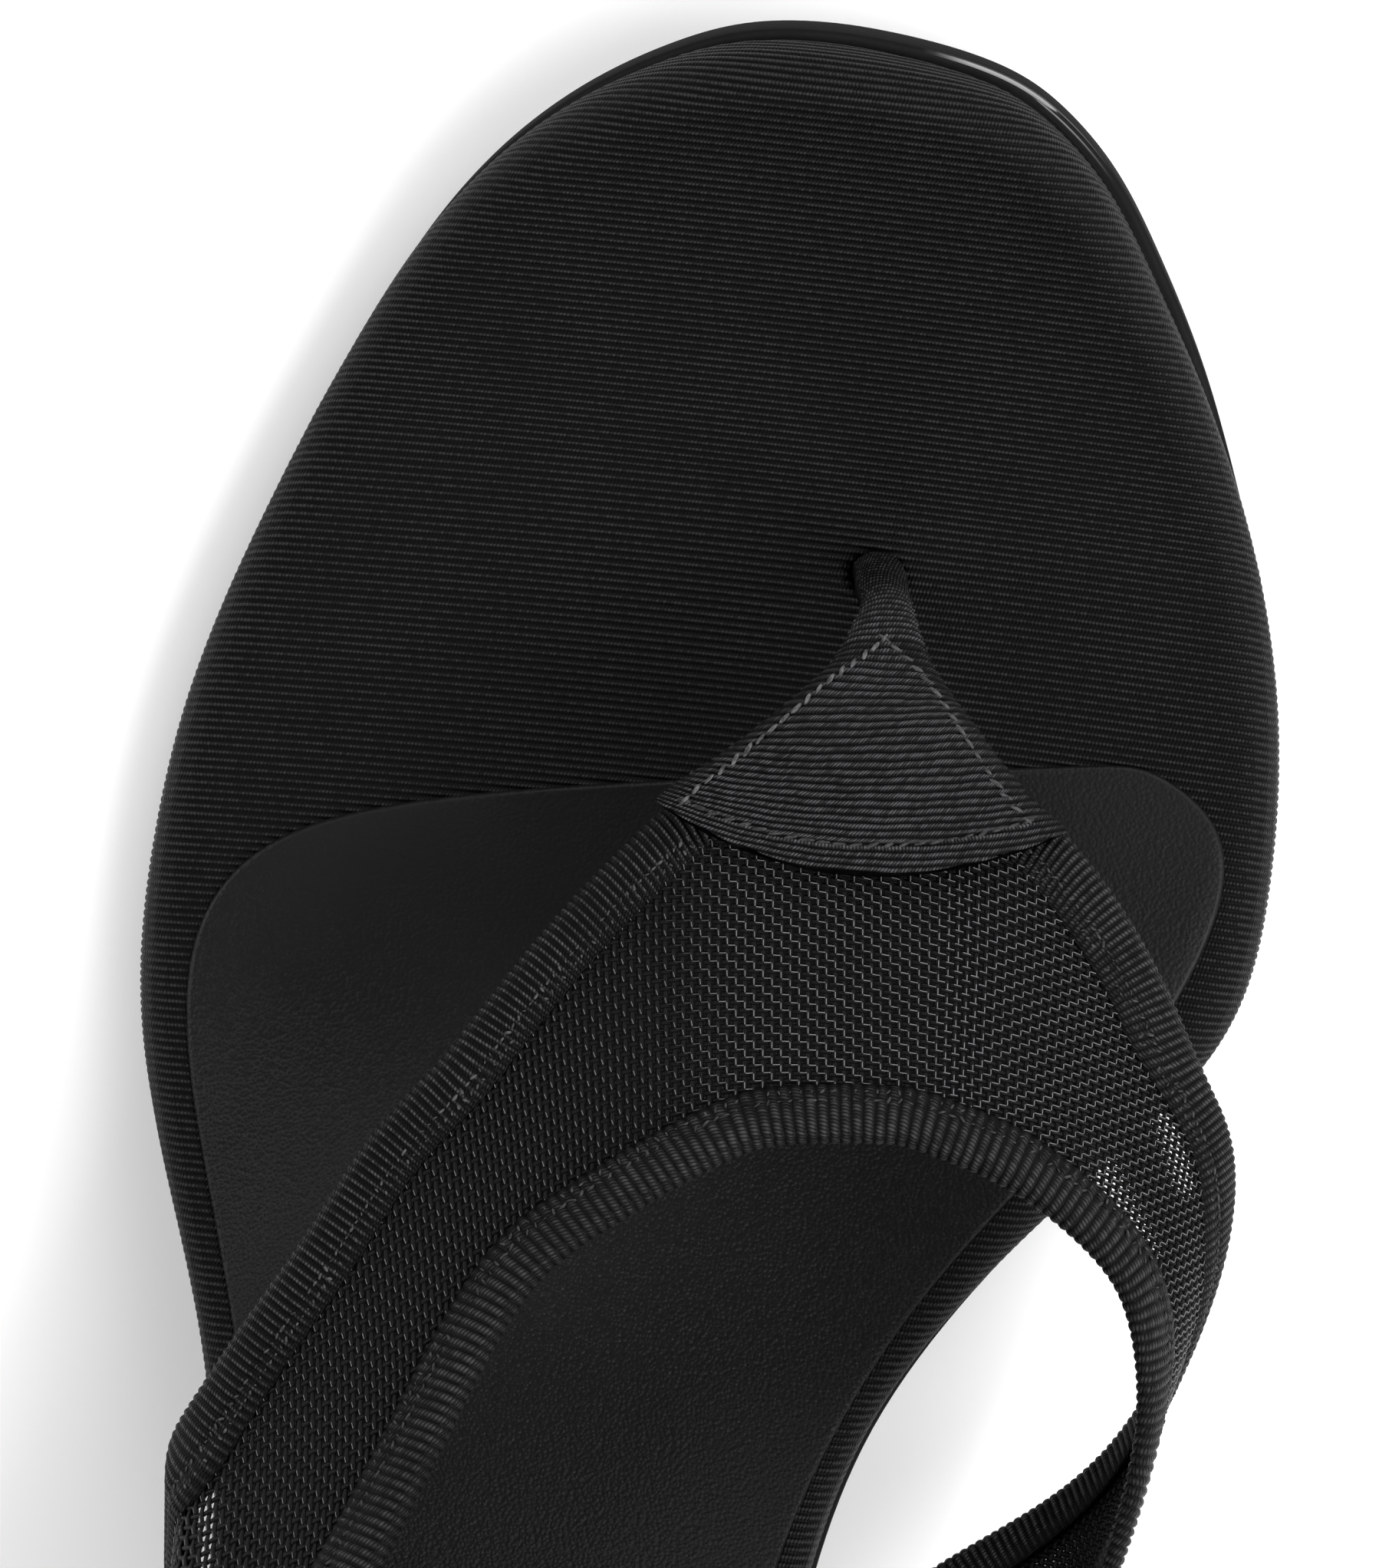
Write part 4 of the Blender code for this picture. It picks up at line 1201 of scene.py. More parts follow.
def rib_line(across, back):
    """Position of a rib along the shoe, in millimetres; ribs lean and bow slightly across the shoe."""
    side = across - MID_ACROSS
    return back + RIB_LEAN * side - RIB_BOW * side**2


def rib_back(line, across):
    """Distance behind the toe of a rib at a place across the shoe."""
    side = across - MID_ACROSS
    return line - RIB_LEAN * side + RIB_BOW * side**2


def rib_weave(run, strong):
    """Weave of ribbed cloth, for rows along the ribs: length along a rib, rib count and strength."""
    even = np.zeros_like(run)
    ribs = np.arange(len(run))[:, None] / RIB_ROWS + even
    return np.stack([run, ribs, strong + even], axis=-1).reshape(-1, 3)


def footbed_ring():
    """Outline of the padded footbed, swollen along its sides."""
    ring = BED_PLAN.rim(EDGE_STATIONS)
    swell = BED_BULGE + (WAIST_BULGE - BED_BULGE) * ease(ring[1], *RIM_BLEND)
    bulge = ease(ring[1], *BULGE_FROM) * swell
    bulge *= ease(ring[2], *BULGE_SIDE) * ease(-ring[1], -BULGE_TO[1], -BULGE_TO[0])
    ring[:2] += bulge * ring[2:]
    return ring


def footbed_columns(lines, ends):
    """Places across each rib: close together at the rims and beside the post hole."""
    width = (ends[1] - ends[0])[:, None]
    rim = np.minimum(RIM_SPAN, width / 3.0)
    out = rim * np.linspace(0.0, 1.0, RIM_COLUMNS + 1)[:-1]
    hole = POST_SECTIONS["across"][1] - ends[0][:, None]
    middle = rib_line(POST_SECTIONS["across"][1], HOLE_MIDDLE)
    near = 1.0 - ease(np.abs(lines - middle), HOLE_SPAN, HOLE_REACH)[:, None]
    count = sum(SIDE_COLUMNS) + HOLE_COLUMNS
    marks = [0.0, SIDE_COLUMNS[0] / count, (SIDE_COLUMNS[0] + HOLE_COLUMNS) / count, 1.0]
    even = [rim + (width - 2.0 * rim) * mark for mark in marks]
    close = [even[0], hole - HOLE_SPAN, hole + HOLE_SPAN, even[3]]
    stops = [flat + (tight - flat) * near for flat, tight in zip(even, close)]
    spans = []
    for start, stop, steps in zip(stops, stops[1:], (SIDE_COLUMNS[0], HOLE_COLUMNS, SIDE_COLUMNS[1])):
        spans.append(start + (stop - start) * np.linspace(0.0, 1.0, steps + 1)[:-1])
    return ends[0][:, None] + np.concatenate([out, *spans, even[3], width - out[:, ::-1]], axis=1)


def footbed_lines(ring, pitch):
    """Places of the cloth as it is cut, before it is folded down: a row for each quarter of a rib."""
    count = ring.shape[1]
    reach = FOOTBED_THICKNESS + rim_radius(ring[1]) * (math.pi / 2.0 - 2.0)
    cut = ring[:2] + reach * ring[2:]
    order = rib_line(*cut)
    first, last = int(order.argmin()), int(order.argmax())
    lateral = (first - np.arange((first - last) % count + 1)) % count
    medial = (first + np.arange((last - first) % count + 1)) % count
    rows = int((order[last] - order[first]) / pitch * RIB_ROWS)
    lines = order[first] + (np.arange(rows) + 0.5) * pitch / RIB_ROWS
    sides = [(np.maximum.accumulate(order[side]), cut[0, side]) for side in (lateral, medial)]
    across = footbed_columns(lines, [np.interp(lines, *side) for side in sides])
    return across, rib_back(lines[:, None], across)


def fold_down(ring, flat):
    """Folds flat places of the cloth over the round edge of the footbed and down its side.

    Returns their plan, their height above the tread and how far the cloth has turned over the edge.
    """
    finder = kdtree.KDTree(ring.shape[1])
    for i, (x, y) in enumerate(ring[:2].T):
        finder.insert((x, y, 0.0), i)
    finder.balance()
    near = np.array([finder.find((x, y, 0.0))[1] for x, y in flat])
    edge, normal = ring[:2, near].T, ring[2:, near].T
    inside = -np.sum((flat - edge) * normal, axis=1)
    foot = flat + inside[:, None] * normal
    radius = rim_radius(edge[:, 1])
    run = np.clip(radius - inside, 0.0, None)
    turn = np.minimum(run / radius, math.pi / 2.0)
    fall = radius * (1.0 - np.cos(turn)) + np.clip(run - radius * math.pi / 2.0, 0.0, None)
    inset = np.where(run > 0.0, radius * (1.0 - np.sin(turn)), inside)
    tuck = np.clip((fall - FOOTBED_THICKNESS + FOOTBED_TUCK) / FOOTBED_TUCK, 0.0, 1.0)
    plan = foot - (inset + FOOTBED_FOOT * tuck**2)[:, None] * normal
    height = OUTSOLE_THICKNESS + GAP + np.maximum(bed_height(*plan.T) - fall, 0.0)
    return plan, height, turn


def footbed_net(pitch):
    """Cloth wrapped over the footbed and dipped into the post hole, with its weave."""
    ring = footbed_ring()
    across, back = footbed_lines(ring, pitch)
    plan, height, turn = fold_down(ring, np.stack([across.ravel(), back.ravel()], axis=1))
    unpierced = on_sole(*plan.T, height).reshape(*across.shape, 3)
    run = lengths(unpierced.transpose(1, 0, 2)).T
    run -= np.array([[np.interp(MID_ACROSS, *row)] for row in zip(across, run)])
    hole = np.hypot(
        (plan[:, 0] - POST_SECTIONS["across"][1] - HOLE_SHIFT) / HOLE_ACROSS,
        (plan[:, 1] - HOLE_MIDDLE) / (HOLE_BACK - HOLE_MIDDLE),
    )
    height -= HOLE_DEPTH * (1.0 - ease(hole, *HOLE_WALL)) + HOLE_DIP * (1.0 - ease(hole, *HOLE_LIP))
    net = on_sole(*plan.T, height).reshape(*across.shape, 3)
    # Third part of the weave: ribs die out into the post hole, and where the cloth turns over the rim it
    # rises above 1, which only brightens the colour: a painted highlight
    strong = ease(hole, *HOLE_RIBS) * (1.0 + RIM_HIGHLIGHT * ease(turn, *RIM_TURN))
    return net, rib_weave(run, strong.reshape(across.shape))


def build_footbed(sizes, colours):
    """Padded footbed wrapped in ribbed cloth, closed underneath and at both ends."""
    net, weave = footbed_net(sizes.rib_pitch / MM)
    rows, columns = net.shape[:2]
    faces = grid_faces(rows, columns)
    ends = np.arange(rows) * columns
    left, right = ends.tolist(), (ends + columns - 1).tolist()
    faces.extend((left[i + 1], left[i], right[i], right[i + 1]) for i in range(rows - 1))
    faces.append(tuple(range(columns)))
    faces.append(tuple(range(rows * columns - 1, (rows - 1) * columns - 1, -1)))
    made = make_object("footbed_wrap", net, faces, weave=weave, closed=False)
    yarn = sizes.yarn_pitch / MM
    surface = ribbed_surface("footbed_cloth", colours.cloth, colours.crest_highlight, yarn, **CLOTH_RIBS)
    finish_ribbed(made, surface, sizes.rib_height, CLOTH_UNEVENNESS, "ribbed_fabric", "footbed")


def heel_loops(drops):
    """Plans of the heel block at shares of its drop: square breast, round back."""
    turns = np.linspace(0.0, 2.0 * math.pi, HEEL_POINTS, endpoint=False)
    part = {name: at(drops)[:, None] for name, at in HEEL_CURVES.items()}
    middle = (part["breast"] + part["rear"]) / 2.0
    depth = (part["rear"] - part["breast"]) / 2.0
    side, run = np.cos(turns), np.sin(turns)
    square = np.where(run < 0.0, HEEL_CORNER, 1.0)
    across = HEEL_ACROSS + part["half_width"] * np.sign(side) * np.abs(side) ** square
    return across, middle + depth * np.sign(run) * np.abs(run) ** square


def stack_faces(levels, count):
    """Faces of a stack of closed loops with flat ends."""
    faces = grid_faces(levels, count, closed=True)
    faces.append(tuple(range(count)))
    faces.append(tuple(range((levels - 1) * count, levels * count)))
    return faces


def build_heel(sizes, colours):
    """Heel block wrapped in ribbed cloth, with the ribs round it."""
    seat = tread(heel_loops(np.zeros(1))[1]) - GAP
    levels = int(seat.mean() / (sizes.rib_pitch / MM) * RIB_ROWS)
    drops = np.linspace(0.0, 1.0, levels)
    across, back = heel_loops(drops)
    height = seat * (1.0 - drops[:, None]) + (TOP_PIECE_HEIGHT + GAP) * drops[:, None]
    loops = np.stack([across, back, height], axis=-1)
    weave = rib_weave(lengths(loops.transpose(1, 0, 2)).T, 1.0)
    made = make_object("heel_wrap", loops, stack_faces(levels, HEEL_POINTS), weave=weave)
    yarn = sizes.yarn_pitch / MM
    surface = ribbed_surface("heel_cloth", colours.cloth, colours.crest_highlight, yarn, **CLOTH_RIBS)
    finish_ribbed(made, surface, sizes.rib_height, CLOTH_UNEVENNESS, "heel_cover", "heel")


def build_heel_tip(colours):
    """Rubber top piece under the heel."""
    across, back = (line[0] for line in heel_loops(np.ones(1)))
    middle = (across.mean(), back.mean())
    reach = np.hypot(across - middle[0], back - middle[1])
    rings = rounded(TOP_PIECE_BEVEL, 0.0, TOP_PIECE_BEVEL, TOP_PIECE_STEPS[0], False)
    low = TOP_PIECE_HEIGHT - TOP_PIECE_SEAT_BEVEL
    rings += rounded(TOP_PIECE_SEAT_BEVEL, low, TOP_PIECE_HEIGHT, TOP_PIECE_STEPS[1], True)
    loops = []
    for inset, height in rings:
        share = 1.0 - inset / reach
        place = [middle[0] + (across - middle[0]) * share, middle[1] + (back - middle[1]) * share]
        loops.append(np.stack([*place, np.full(HEEL_POINTS, height)], axis=-1))
    made = make_object("heel_tip", np.array(loops), stack_faces(len(rings), HEEL_POINTS))
    finish_plain(made, rubber_surface("heel_rubber", colours.rubber), "heel_rubber", "heel_top_piece")


class MeshNet:
    """Net of the strap cloth: warps along the shoe at even steps round the last, wefts bowed across."""

    def __init__(self, sizes):
        fine = np.linspace(MESH_ENDS[0], MESH_ENDS[1] + MESH_SPARE, GIRTH_SAMPLES)
        girth = np.diff(lengths(last_point(np.full_like(fine, MESH_SECTION), fine)), prepend=0.0)
        count = np.cumsum(girth * (1.0 + MESH_CLOSER * ease(fine, *MESH_SIDE))) / (sizes.warp_spacing / MM)
        self.around = np.interp(np.arange(0.0, count[-1]), count, fine)
        self.step = sizes.weft_spacing / MM
        wefts = int(MESH_REACH / self.step)
        warps = np.arange(len(self.around))
        self.warp, self.weft = np.meshgrid(warps, np.arange(-wefts // 3, wefts), indexing="ij")
        rows = np.linspace(0.0, STRAP_ROWS[-1], ROW_SAMPLES)
        edges = {name: at(rows) for name, at in STRAP_CURVES.items()}
        back, around = self.place(self.warp, self.weft)
        front = np.interp(around, edges["front_around"], edges["front_back"])
        rear = np.interp(around, edges["rear_around"], edges["rear_back"])
        self.inside = (back > front + MESH_MARGIN) & (back < rear - MESH_MARGIN) & (around < MESH_ENDS[1])

    def across(self, around):
        """Place across the shoe of an angle round the last, at the section the net is laid out on."""
        upper = np.clip(around, 0.0, 180.0)
        return last_point(np.full_like(upper, MESH_SECTION), upper)[..., 0]

    def place(self, warp, weft):
        """Distance behind the toe and angle round the last of a place on the net."""
        around = np.interp(warp, np.arange(len(self.around)), self.around)
        across = self.across(around)
        fan = np.clip(1.0 - MESH_FAN * (across - MESH_FAN_ACROSS), *MESH_FAN_RANGE)
        bow = MESH_BOW * (across - MESH_BOW_ACROSS) ** 2
        behind = bow + fan * self.step * weft
        return MESH_ORIGIN + behind, around - MESH_LEAN * behind * ease(around, *MESH_SIDE)

    def joined(self, warps, wefts, odd=None):
        """Crossings inside the strap whose neighbour at a step of warps and wefts is inside as well."""
        far = np.roll(self.inside, (-warps, -wefts), (0, 1))
        kept = self.inside & far
        if odd is not None:
            kept &= (self.warp + self.weft) % 2 == odd
        return self.warp[kept], self.weft[kept]

    def lines(self, ends, lift, weave=0.0):
        """Points, normals and joining edges of short straight yarns; weave lifts every other crossing."""
        spots = [last_frame(*self.place(*end)) for end in ends]
        rise = [lift + weave * (1.0 - 2.0 * ((warp + weft) % 2)) for warp, weft in ends]
        points = np.concatenate([spot[0] + up[:, None] * spot[1] for spot, up in zip(spots, rise)])
        count = len(points) // 2
        edges = np.stack([np.arange(count), np.arange(count) + count], axis=1)
        return points, np.concatenate([normal for point, normal in spots]), edges


def weld(points, normals, edges):
    """Joins yarn ends that share a place."""
    keys = np.round(points, WELD_DIGITS)
    kept, first, same = np.unique(keys, axis=0, return_index=True, return_inverse=True)
    return points[first], normals[first], same.reshape(-1)[edges]


def ground_swell(points):
    """Width of the dark yarns: shut on the big-toe side, but for two patches pulled open."""
    swell = 1.0 + MESH_SHUT * ease(points[:, 0], *MESH_SHUT_ACROSS)
    for across, back, run_across, run_back, reach in zip(*MESH_PATCHES.values()):
        run = np.array([run_across, run_back])
        away = points[:, :2] - (across, back)
        along = np.clip(away @ run / (run @ run), -1.0, 1.0)
        far = np.linalg.norm(away - along[:, None] * run, axis=1) / reach
        swell *= 1.0 - PATCH_OPEN * (1.0 - ease(far, *PATCH_EDGE))
    return swell


def build_ground(net, sizes, colours):
    """Dark warps and wefts of the mesh, which pass over and under each other."""
    for name, step, width, rise, nodes in (
        ("mesh_warps", (0, 1), sizes.warp_width, YARN_RISE, ()),
        ("mesh_wefts", (1, 0), sizes.weft_width, -YARN_RISE, ("strap_upper",)),
    ):
        warp, weft = net.joined(*step)
        ends = [(warp, weft), (warp + step[0], weft + step[1])]
        lines = weld(*net.lines(ends, 0.0, rise))
        weave = np.zeros_like(lines[0])
        weave[:, 1] = ground_swell(lines[0])
        surface = yarn_surface(name + "_yarn", colours.ground, colours.ground, GROUND_ROUGHNESS)
        lay_yarns(name, lines, weave, surface, width, sizes.ground_thickness, *nodes)


def build_float_highlights(net, sizes, colours):
    """Floats of the mesh, bars along the warps and feet across them, whose light colour is a painted
    highlight on glossy yarns; towards the little toe the feet's painted highlight dies out and the bars
    grow shorter and thinner.
    """
    bars = net.joined(0, 1, odd=0)
    feet = net.joined(0, 0, odd=1)
    whole, feet_highlight = (ease(net.across(net.place(*ends)[1]), *FOOT_HIGHLIGHT_SPAN) for ends in (bars, feet))
    shift = ease(net.across(net.place(*feet)[1]), *FOOT_TURN) - 0.5
    trim = BAR_TRIM[1] + (BAR_TRIM[0] - BAR_TRIM[1]) * whole
    lean = BAR_LEAN * (1.0 - whole)
    # How much painted highlight each float carries; floats with almost none are left out
    lit = np.concatenate([np.ones_like(whole), feet_highlight])
    swell = np.concatenate([BAR_SWELL + (1.0 - BAR_SWELL) * whole, np.ones_like(feet_highlight)])
    kept = lit > FLOAT_LEAST
    ends = []
    for side, tip in ((1.0, trim), (-1.0, 1.0 - trim)):
        warp = np.concatenate([bars[0] + side * lean, feet[0] + shift - side * FOOT_HALF])
        weft = np.concatenate([bars[1] + tip, feet[1]])
        ends.append((warp[kept], weft[kept]))
    lines = net.lines(ends, FLOAT_LIFT)
    weave = np.zeros_like(lines[0])
    weave[:, 0] = np.tile(lit[kept], 2)
    weave[:, 1] = np.tile(swell[kept], 2)
    surface = yarn_surface("mesh_float_yarn", colours.ground, colours.thread, FLOAT_ROUGHNESS)
    lay_yarns("mesh_floats", lines, weave, surface, sizes.float_width, sizes.float_width)


def binding_span(edge, name):
    """First and last strap rows of a binding."""
    column = "rear_around" if edge else "front_around"
    first = row_at(column, BINDING_MEDIAL_END)
    last = row_at(column, BINDING_LATERAL_END)
    if name == "front_medial":
        last = row_at(column, TAB_MEDIAL_CORNER) + BINDING_TUCK
    if name == "front_lateral":
        first = row_at(column, TAB_LATERAL_CORNER) - BINDING_TUCK
    return first, last


def binding_stretch(rows, edge, width):
    """How much wider a binding is cut where it lies steep, most on the little-toe side."""
    outer = strap_point(rows, np.full_like(rows, edge))
    inner = strap_point(*inside_edge(rows, edge, width))
    seen = np.linalg.norm((inner - outer)[:, :2], axis=1)
    least, most = BINDING_STRETCH
    return np.clip(width / seen, 1.0, least + (most - least) * ease(rows, *BINDING_STRETCH_ROWS))


def binding_press(rows, edge, name):
    """Share of its thickness a binding keeps: thin on the big-toe side, pressed flat under the tab."""
    thin = 1.0 - BINDING_THIN * (1.0 - ease(rows, *BINDING_THIN_ROWS))
    if edge:
        return thin
    if name == "front_medial":
        under = rows - row_at("front_around", TAB_MEDIAL_CORNER)
    else:
        under = row_at("front_around", TAB_LATERAL_CORNER) - rows
    pressed = BINDING_PRESSED + (1.0 - BINDING_PRESSED) * ease(-under, *BINDING_PRESS_SPAN)
    return thin * pressed * (1.0 - BINDING_TAPER * ease(under, 0.0, BINDING_TUCK))


def binding_line(rows, edge, inset, lift):
    """Line along a binding at an inset from the strap's edge, lifted off the strap, with its normals."""
    point, normal = strap_frame(*inside_edge(rows, edge, inset))
    return point + lift * normal, normal


def build_bindings(sizes, colours):
    """Ribbed tape folded over each edge of the strap, with its row of stitches and its row of knots."""
    for name, look in BINDING_LOOKS.items():
        edge = look["edge"]
        pitch = sizes.rear_tape_pitch if edge else sizes.front_tape_pitch
        rows = strap_rows(*binding_span(edge, name), pitch / MM / RIB_ROWS, edge)
        stretch = binding_stretch(rows, edge, BINDING_SKIN["inset"][0])
        thick = (BINDING_HALF * binding_press(rows, edge, name))[:, None]
        fold = zip(BINDING_SKIN["inset"], BINDING_SKIN["lift"])
        skin = [binding_line(rows, edge, inset * stretch, lift * thick)[0] for inset, lift in fold]
        net = np.stack(skin, axis=1)
        weave = rib_weave(lengths(net.transpose(1, 0, 2)).T, BINDING_SKIN["ribbed"])
        made = make_object("tape_" + name, net, stack_faces(*net.shape[:2]), weave=weave)
        # Each tape's light colour is dimmed by its own share and its crest highlight narrowed by its own
        # sharpness: painted light that differs from tape to tape
        light = dimmed(colours.tape, look["fade"])
        yarn = sizes.tape_yarn / MM
        ribs = {"sharp": look["sharp"], **TAPE_RIBS}
        surface = ribbed_surface("binding_tape_" + name, colours.cloth, light, yarn, **ribs)
        finish_ribbed(
            made, surface, sizes.tape_rib_height, TAPE_UNEVENNESS, "ribbed_tape", "binding_" + name
        )
        # Each tape's thread is dimmed by its own share as well: painted shade that differs from tape to
        # tape
        thread = thread_surface("binding_thread_" + name, dimmed(colours.dark_stitch, look["sewn"]))
        for kind, seam in BINDING_SEAMS.items():
            path, normals = binding_line(rows, edge, seam["inset"] * stretch, seam["lift"] * thick)
            sew(f"binding_{kind}_{name}", path, normals, thread, "ribbed_tape", pitch, seam)


def tab_sections():
    """Top and underside of the toe post and tab with normals, rows from the post foot back."""
    keys = np.arange(len(TAB_SECTIONS["sag"]), dtype=float)
    part = {name: curve(keys, TAB_SECTIONS[name]) for name in TAB_SECTIONS}
    rows = np.linspace(0.0, keys[-1], TAB_ROWS)[:, None]
    side = np.sin(np.linspace(-0.5, 0.5, TAB_COLUMNS + 1) * math.pi)
    share = (side + 1.0) / 2.0
    across = part["lateral_across"](rows) * (1.0 - share) + part["medial_across"](rows) * share
    back = part["lateral_back"](rows) * (1.0 - share) + part["medial_back"](rows) * share
    back = back + part["sag"](rows) * (1.0 - side**2)
    depth = np.repeat(part["half_depth"](rows), TAB_COLUMNS + 1, axis=1)
    step = 0.05
    lean = (last_height(across, back + step) - last_height(across, back - step)) / (2.0 * step)
    tilt = (last_height(across + step, back) - last_height(across - step, back)) / (2.0 * step)
    steep = np.sqrt(1.0 + lean**2 + tilt**2)
    clear = STRAP_WALL / 2.0 + GAP + depth
    tab = np.stack([across, back, last_height(across, back) + clear * steep], axis=-1)
    tab_normal = np.stack([-tilt, -lean, np.ones_like(lean)], axis=-1) / steep[..., None]
    post = {name: POST_SECTIONS[name][:, None] for name in POST_SECTIONS}
    swell = POST_SWELL * (1.0 - ease(post["height"], *POST_SWELL_HEIGHT))
    flat = 0.0 * side
    foot_across = post["across"] + (post["half_width"] + swell) * side
    foot = np.stack([foot_across, post["back"] + flat, post["height"] + flat], axis=-1)
    path = np.gradient(np.concatenate([foot, tab[:1]])[:, TAB_COLUMNS // 2], axis=0)[:-1]
    turn = np.arctan2(path[:, 1], path[:, 2])[:, None] + flat
    foot_normal = np.stack([0.0 * turn, -np.cos(turn), np.sin(turn)], axis=-1)
    half = np.concatenate([post["half_depth"] + swell + flat, depth])
    flatten = np.linspace(POST_ROUNDNESS, TAB_SQUARENESS, TAB_ROWS)
    squareness = np.concatenate([np.full(len(foot), POST_ROUNDNESS), flatten])
    round_off = np.sqrt(1.0 - np.abs(side) ** squareness[:, None])
    net = np.concatenate([foot, tab])
    normal = np.concatenate([foot_normal, tab_normal])
    lift = (half * np.maximum(round_off, TAB_EDGE))[..., None] * normal
    return net + lift, net - lift, normal, side


def seam_lines(top, normal, keys, side):
    """Three seams on the tab, each with its points and normals: down both sides and along the rear edge."""
    last_row = len(TAB_SECTIONS["sag"]) - 1.0
    first = len(POST_SECTIONS["across"])
    face, lie = curve(keys, top), curve(keys, normal)

    def trace(rows, shares):
        index = first + rows / last_row * (TAB_ROWS - 1)
        places = np.interp(index, np.arange(len(keys)), keys)
        made = []
        for values in (face(places), lie(places)):
            seats = zip(2.0 * shares - 1.0, values)
            made.append(np.array([[np.interp(seat, side, axis) for axis in row.T] for seat, row in seats]))
        return made

    rows = np.linspace(TAB_SEAM["row"][0], TAB_SEAM["row"][-1], SEAM_POINTS)
    lines = [trace(rows, curve(TAB_SEAM["row"], TAB_SEAM[name])(rows)) for name in ("lateral", "medial")]
    shares = np.linspace(TAB_SEAM["lateral"][-1], TAB_SEAM["medial"][-1], SEAM_POINTS)
    return [*lines, trace(np.full_like(shares, TAB_SEAM["row"][-1]), shares)]


def tab_weave(loops, rows, keys, side, pitch):
    """Weave of the tab: ribs that bow less than the tab and waver, weak on the post and past the seams,
    where their flatter ribs are real and their darker colour is painted shade.
    """
    run = lengths(loops.transpose(1, 0, 2)).T
    place = np.interp(rows, keys, np.arange(len(keys))) - len(POST_SECTIONS["across"])
    place = place[:, None] * (len(TAB_SECTIONS["sag"]) - 1.0) / (TAB_ROWS - 1)
    sag = np.interp(place, np.arange(len(TAB_SECTIONS["sag"])), TAB_SECTIONS["sag"])
    flat = TAB_FLATTEN / pitch * sag * (1.0 - side**2)
    ribs = np.arange(len(rows))[:, None] / TAB_RIB_ROWS + np.concatenate([flat, flat[:, ::-1]], axis=1)
    share = (side + 1.0) / 2.0
    sewn = {name: curve(TAB_SEAM["row"], TAB_SEAM[name])(place) for name in ("lateral", "medial")}
    inner = ease(np.minimum(share - sewn["lateral"], sewn["medial"] - share), -SEAM_BLEND, 0.0)
    # Past the seams: flatter ribs, and a darker colour that is painted shade
    inner = np.where(place > TAB_SEAM["row"][0], TAB_BORDER_SHADE + (1.0 - TAB_BORDER_SHADE) * inner, 1.0)
    post = POST_RIBS + (1.0 - POST_RIBS) * ease(rows, *keys[list(POST_FADE_ROWS)])[:, None]
    strong = np.concatenate([inner, np.zeros_like(inner)], axis=1) * post
    weave = np.stack([run, ribs, strong], axis=-1).reshape(-1, 3)
    for height, along, over in zip(*TAB_WAVES.values()):
        weave[:, 1] += height * np.sin(weave[:, 0] * along + weave[:, 1] * over)
    return weave


def build_tab(sizes, colours):
    """Ribbed tab with its rolled toe post, pressed in along its seams, and the stitches in them."""
    top, low, normal, side = tab_sections()
    keys = lengths((top + low)[:, TAB_COLUMNS // 2] / 2.0)
    pitch = sizes.tab_pitch / MM
    rows = np.arange(0.0, keys[-1], pitch / TAB_RIB_ROWS)
    seams = seam_lines(top, normal, keys, side)
    upper, lower, normals = (curve(keys, face)(rows) for face in (top, low, normal))
    seam = np.concatenate([path for path, lie in seams])[::SEAM_SKIP]
    away = np.linalg.norm(upper[:, :, None, :] - seam, axis=-1).min(axis=-1)
    upper -= (SEAM_DEPTH * np.exp(-((away / SEAM_REACH) ** 2)))[..., None] * normals
    loops = np.concatenate([upper, lower[:, ::-1]], axis=1)
    weave = tab_weave(loops, rows, keys, side, pitch)
    made = make_object("toe_tab_tape", loops, stack_faces(*loops.shape[:2]), weave=weave)
    surface = ribbed_surface("tab_tape", colours.cloth, colours.tab, sizes.tab_yarn / MM, **TAB_RIBS)
    finish_ribbed(made, surface, sizes.tab_rib_height, TAPE_UNEVENNESS, "tab_tape", "toe_post_tab")
    for (name, look), (path, lie) in zip(TAB_THREADS.items(), seams):
        # Thread dimmed per seam: painted shade on the medial seam and the hem
        thread = thread_surface("tab_thread_" + name, dimmed(colours.stitch, look["fade"]))
        path = path - look["sink"] * lie
        sew("tab_stitches_" + name, path, lie, thread, "tab_tape", sizes.tab_stitch, TAB_SEWING)


def add_light(name, place, size, power, target):
    """Soft square light that faces a target and isn't seen itself."""
    lamp = bpy.data.lights.new(name, "AREA")
    lamp.shape = "SQUARE"
    lamp.size = size
    lamp.energy = power
    made = bpy.data.objects.new(name, lamp)
    made.location = place
    made.rotation_euler = (made.location - target).to_track_quat("Z", "Y").to_euler()
    made.visible_camera = False
    bpy.context.scene.collection.objects.link(made)


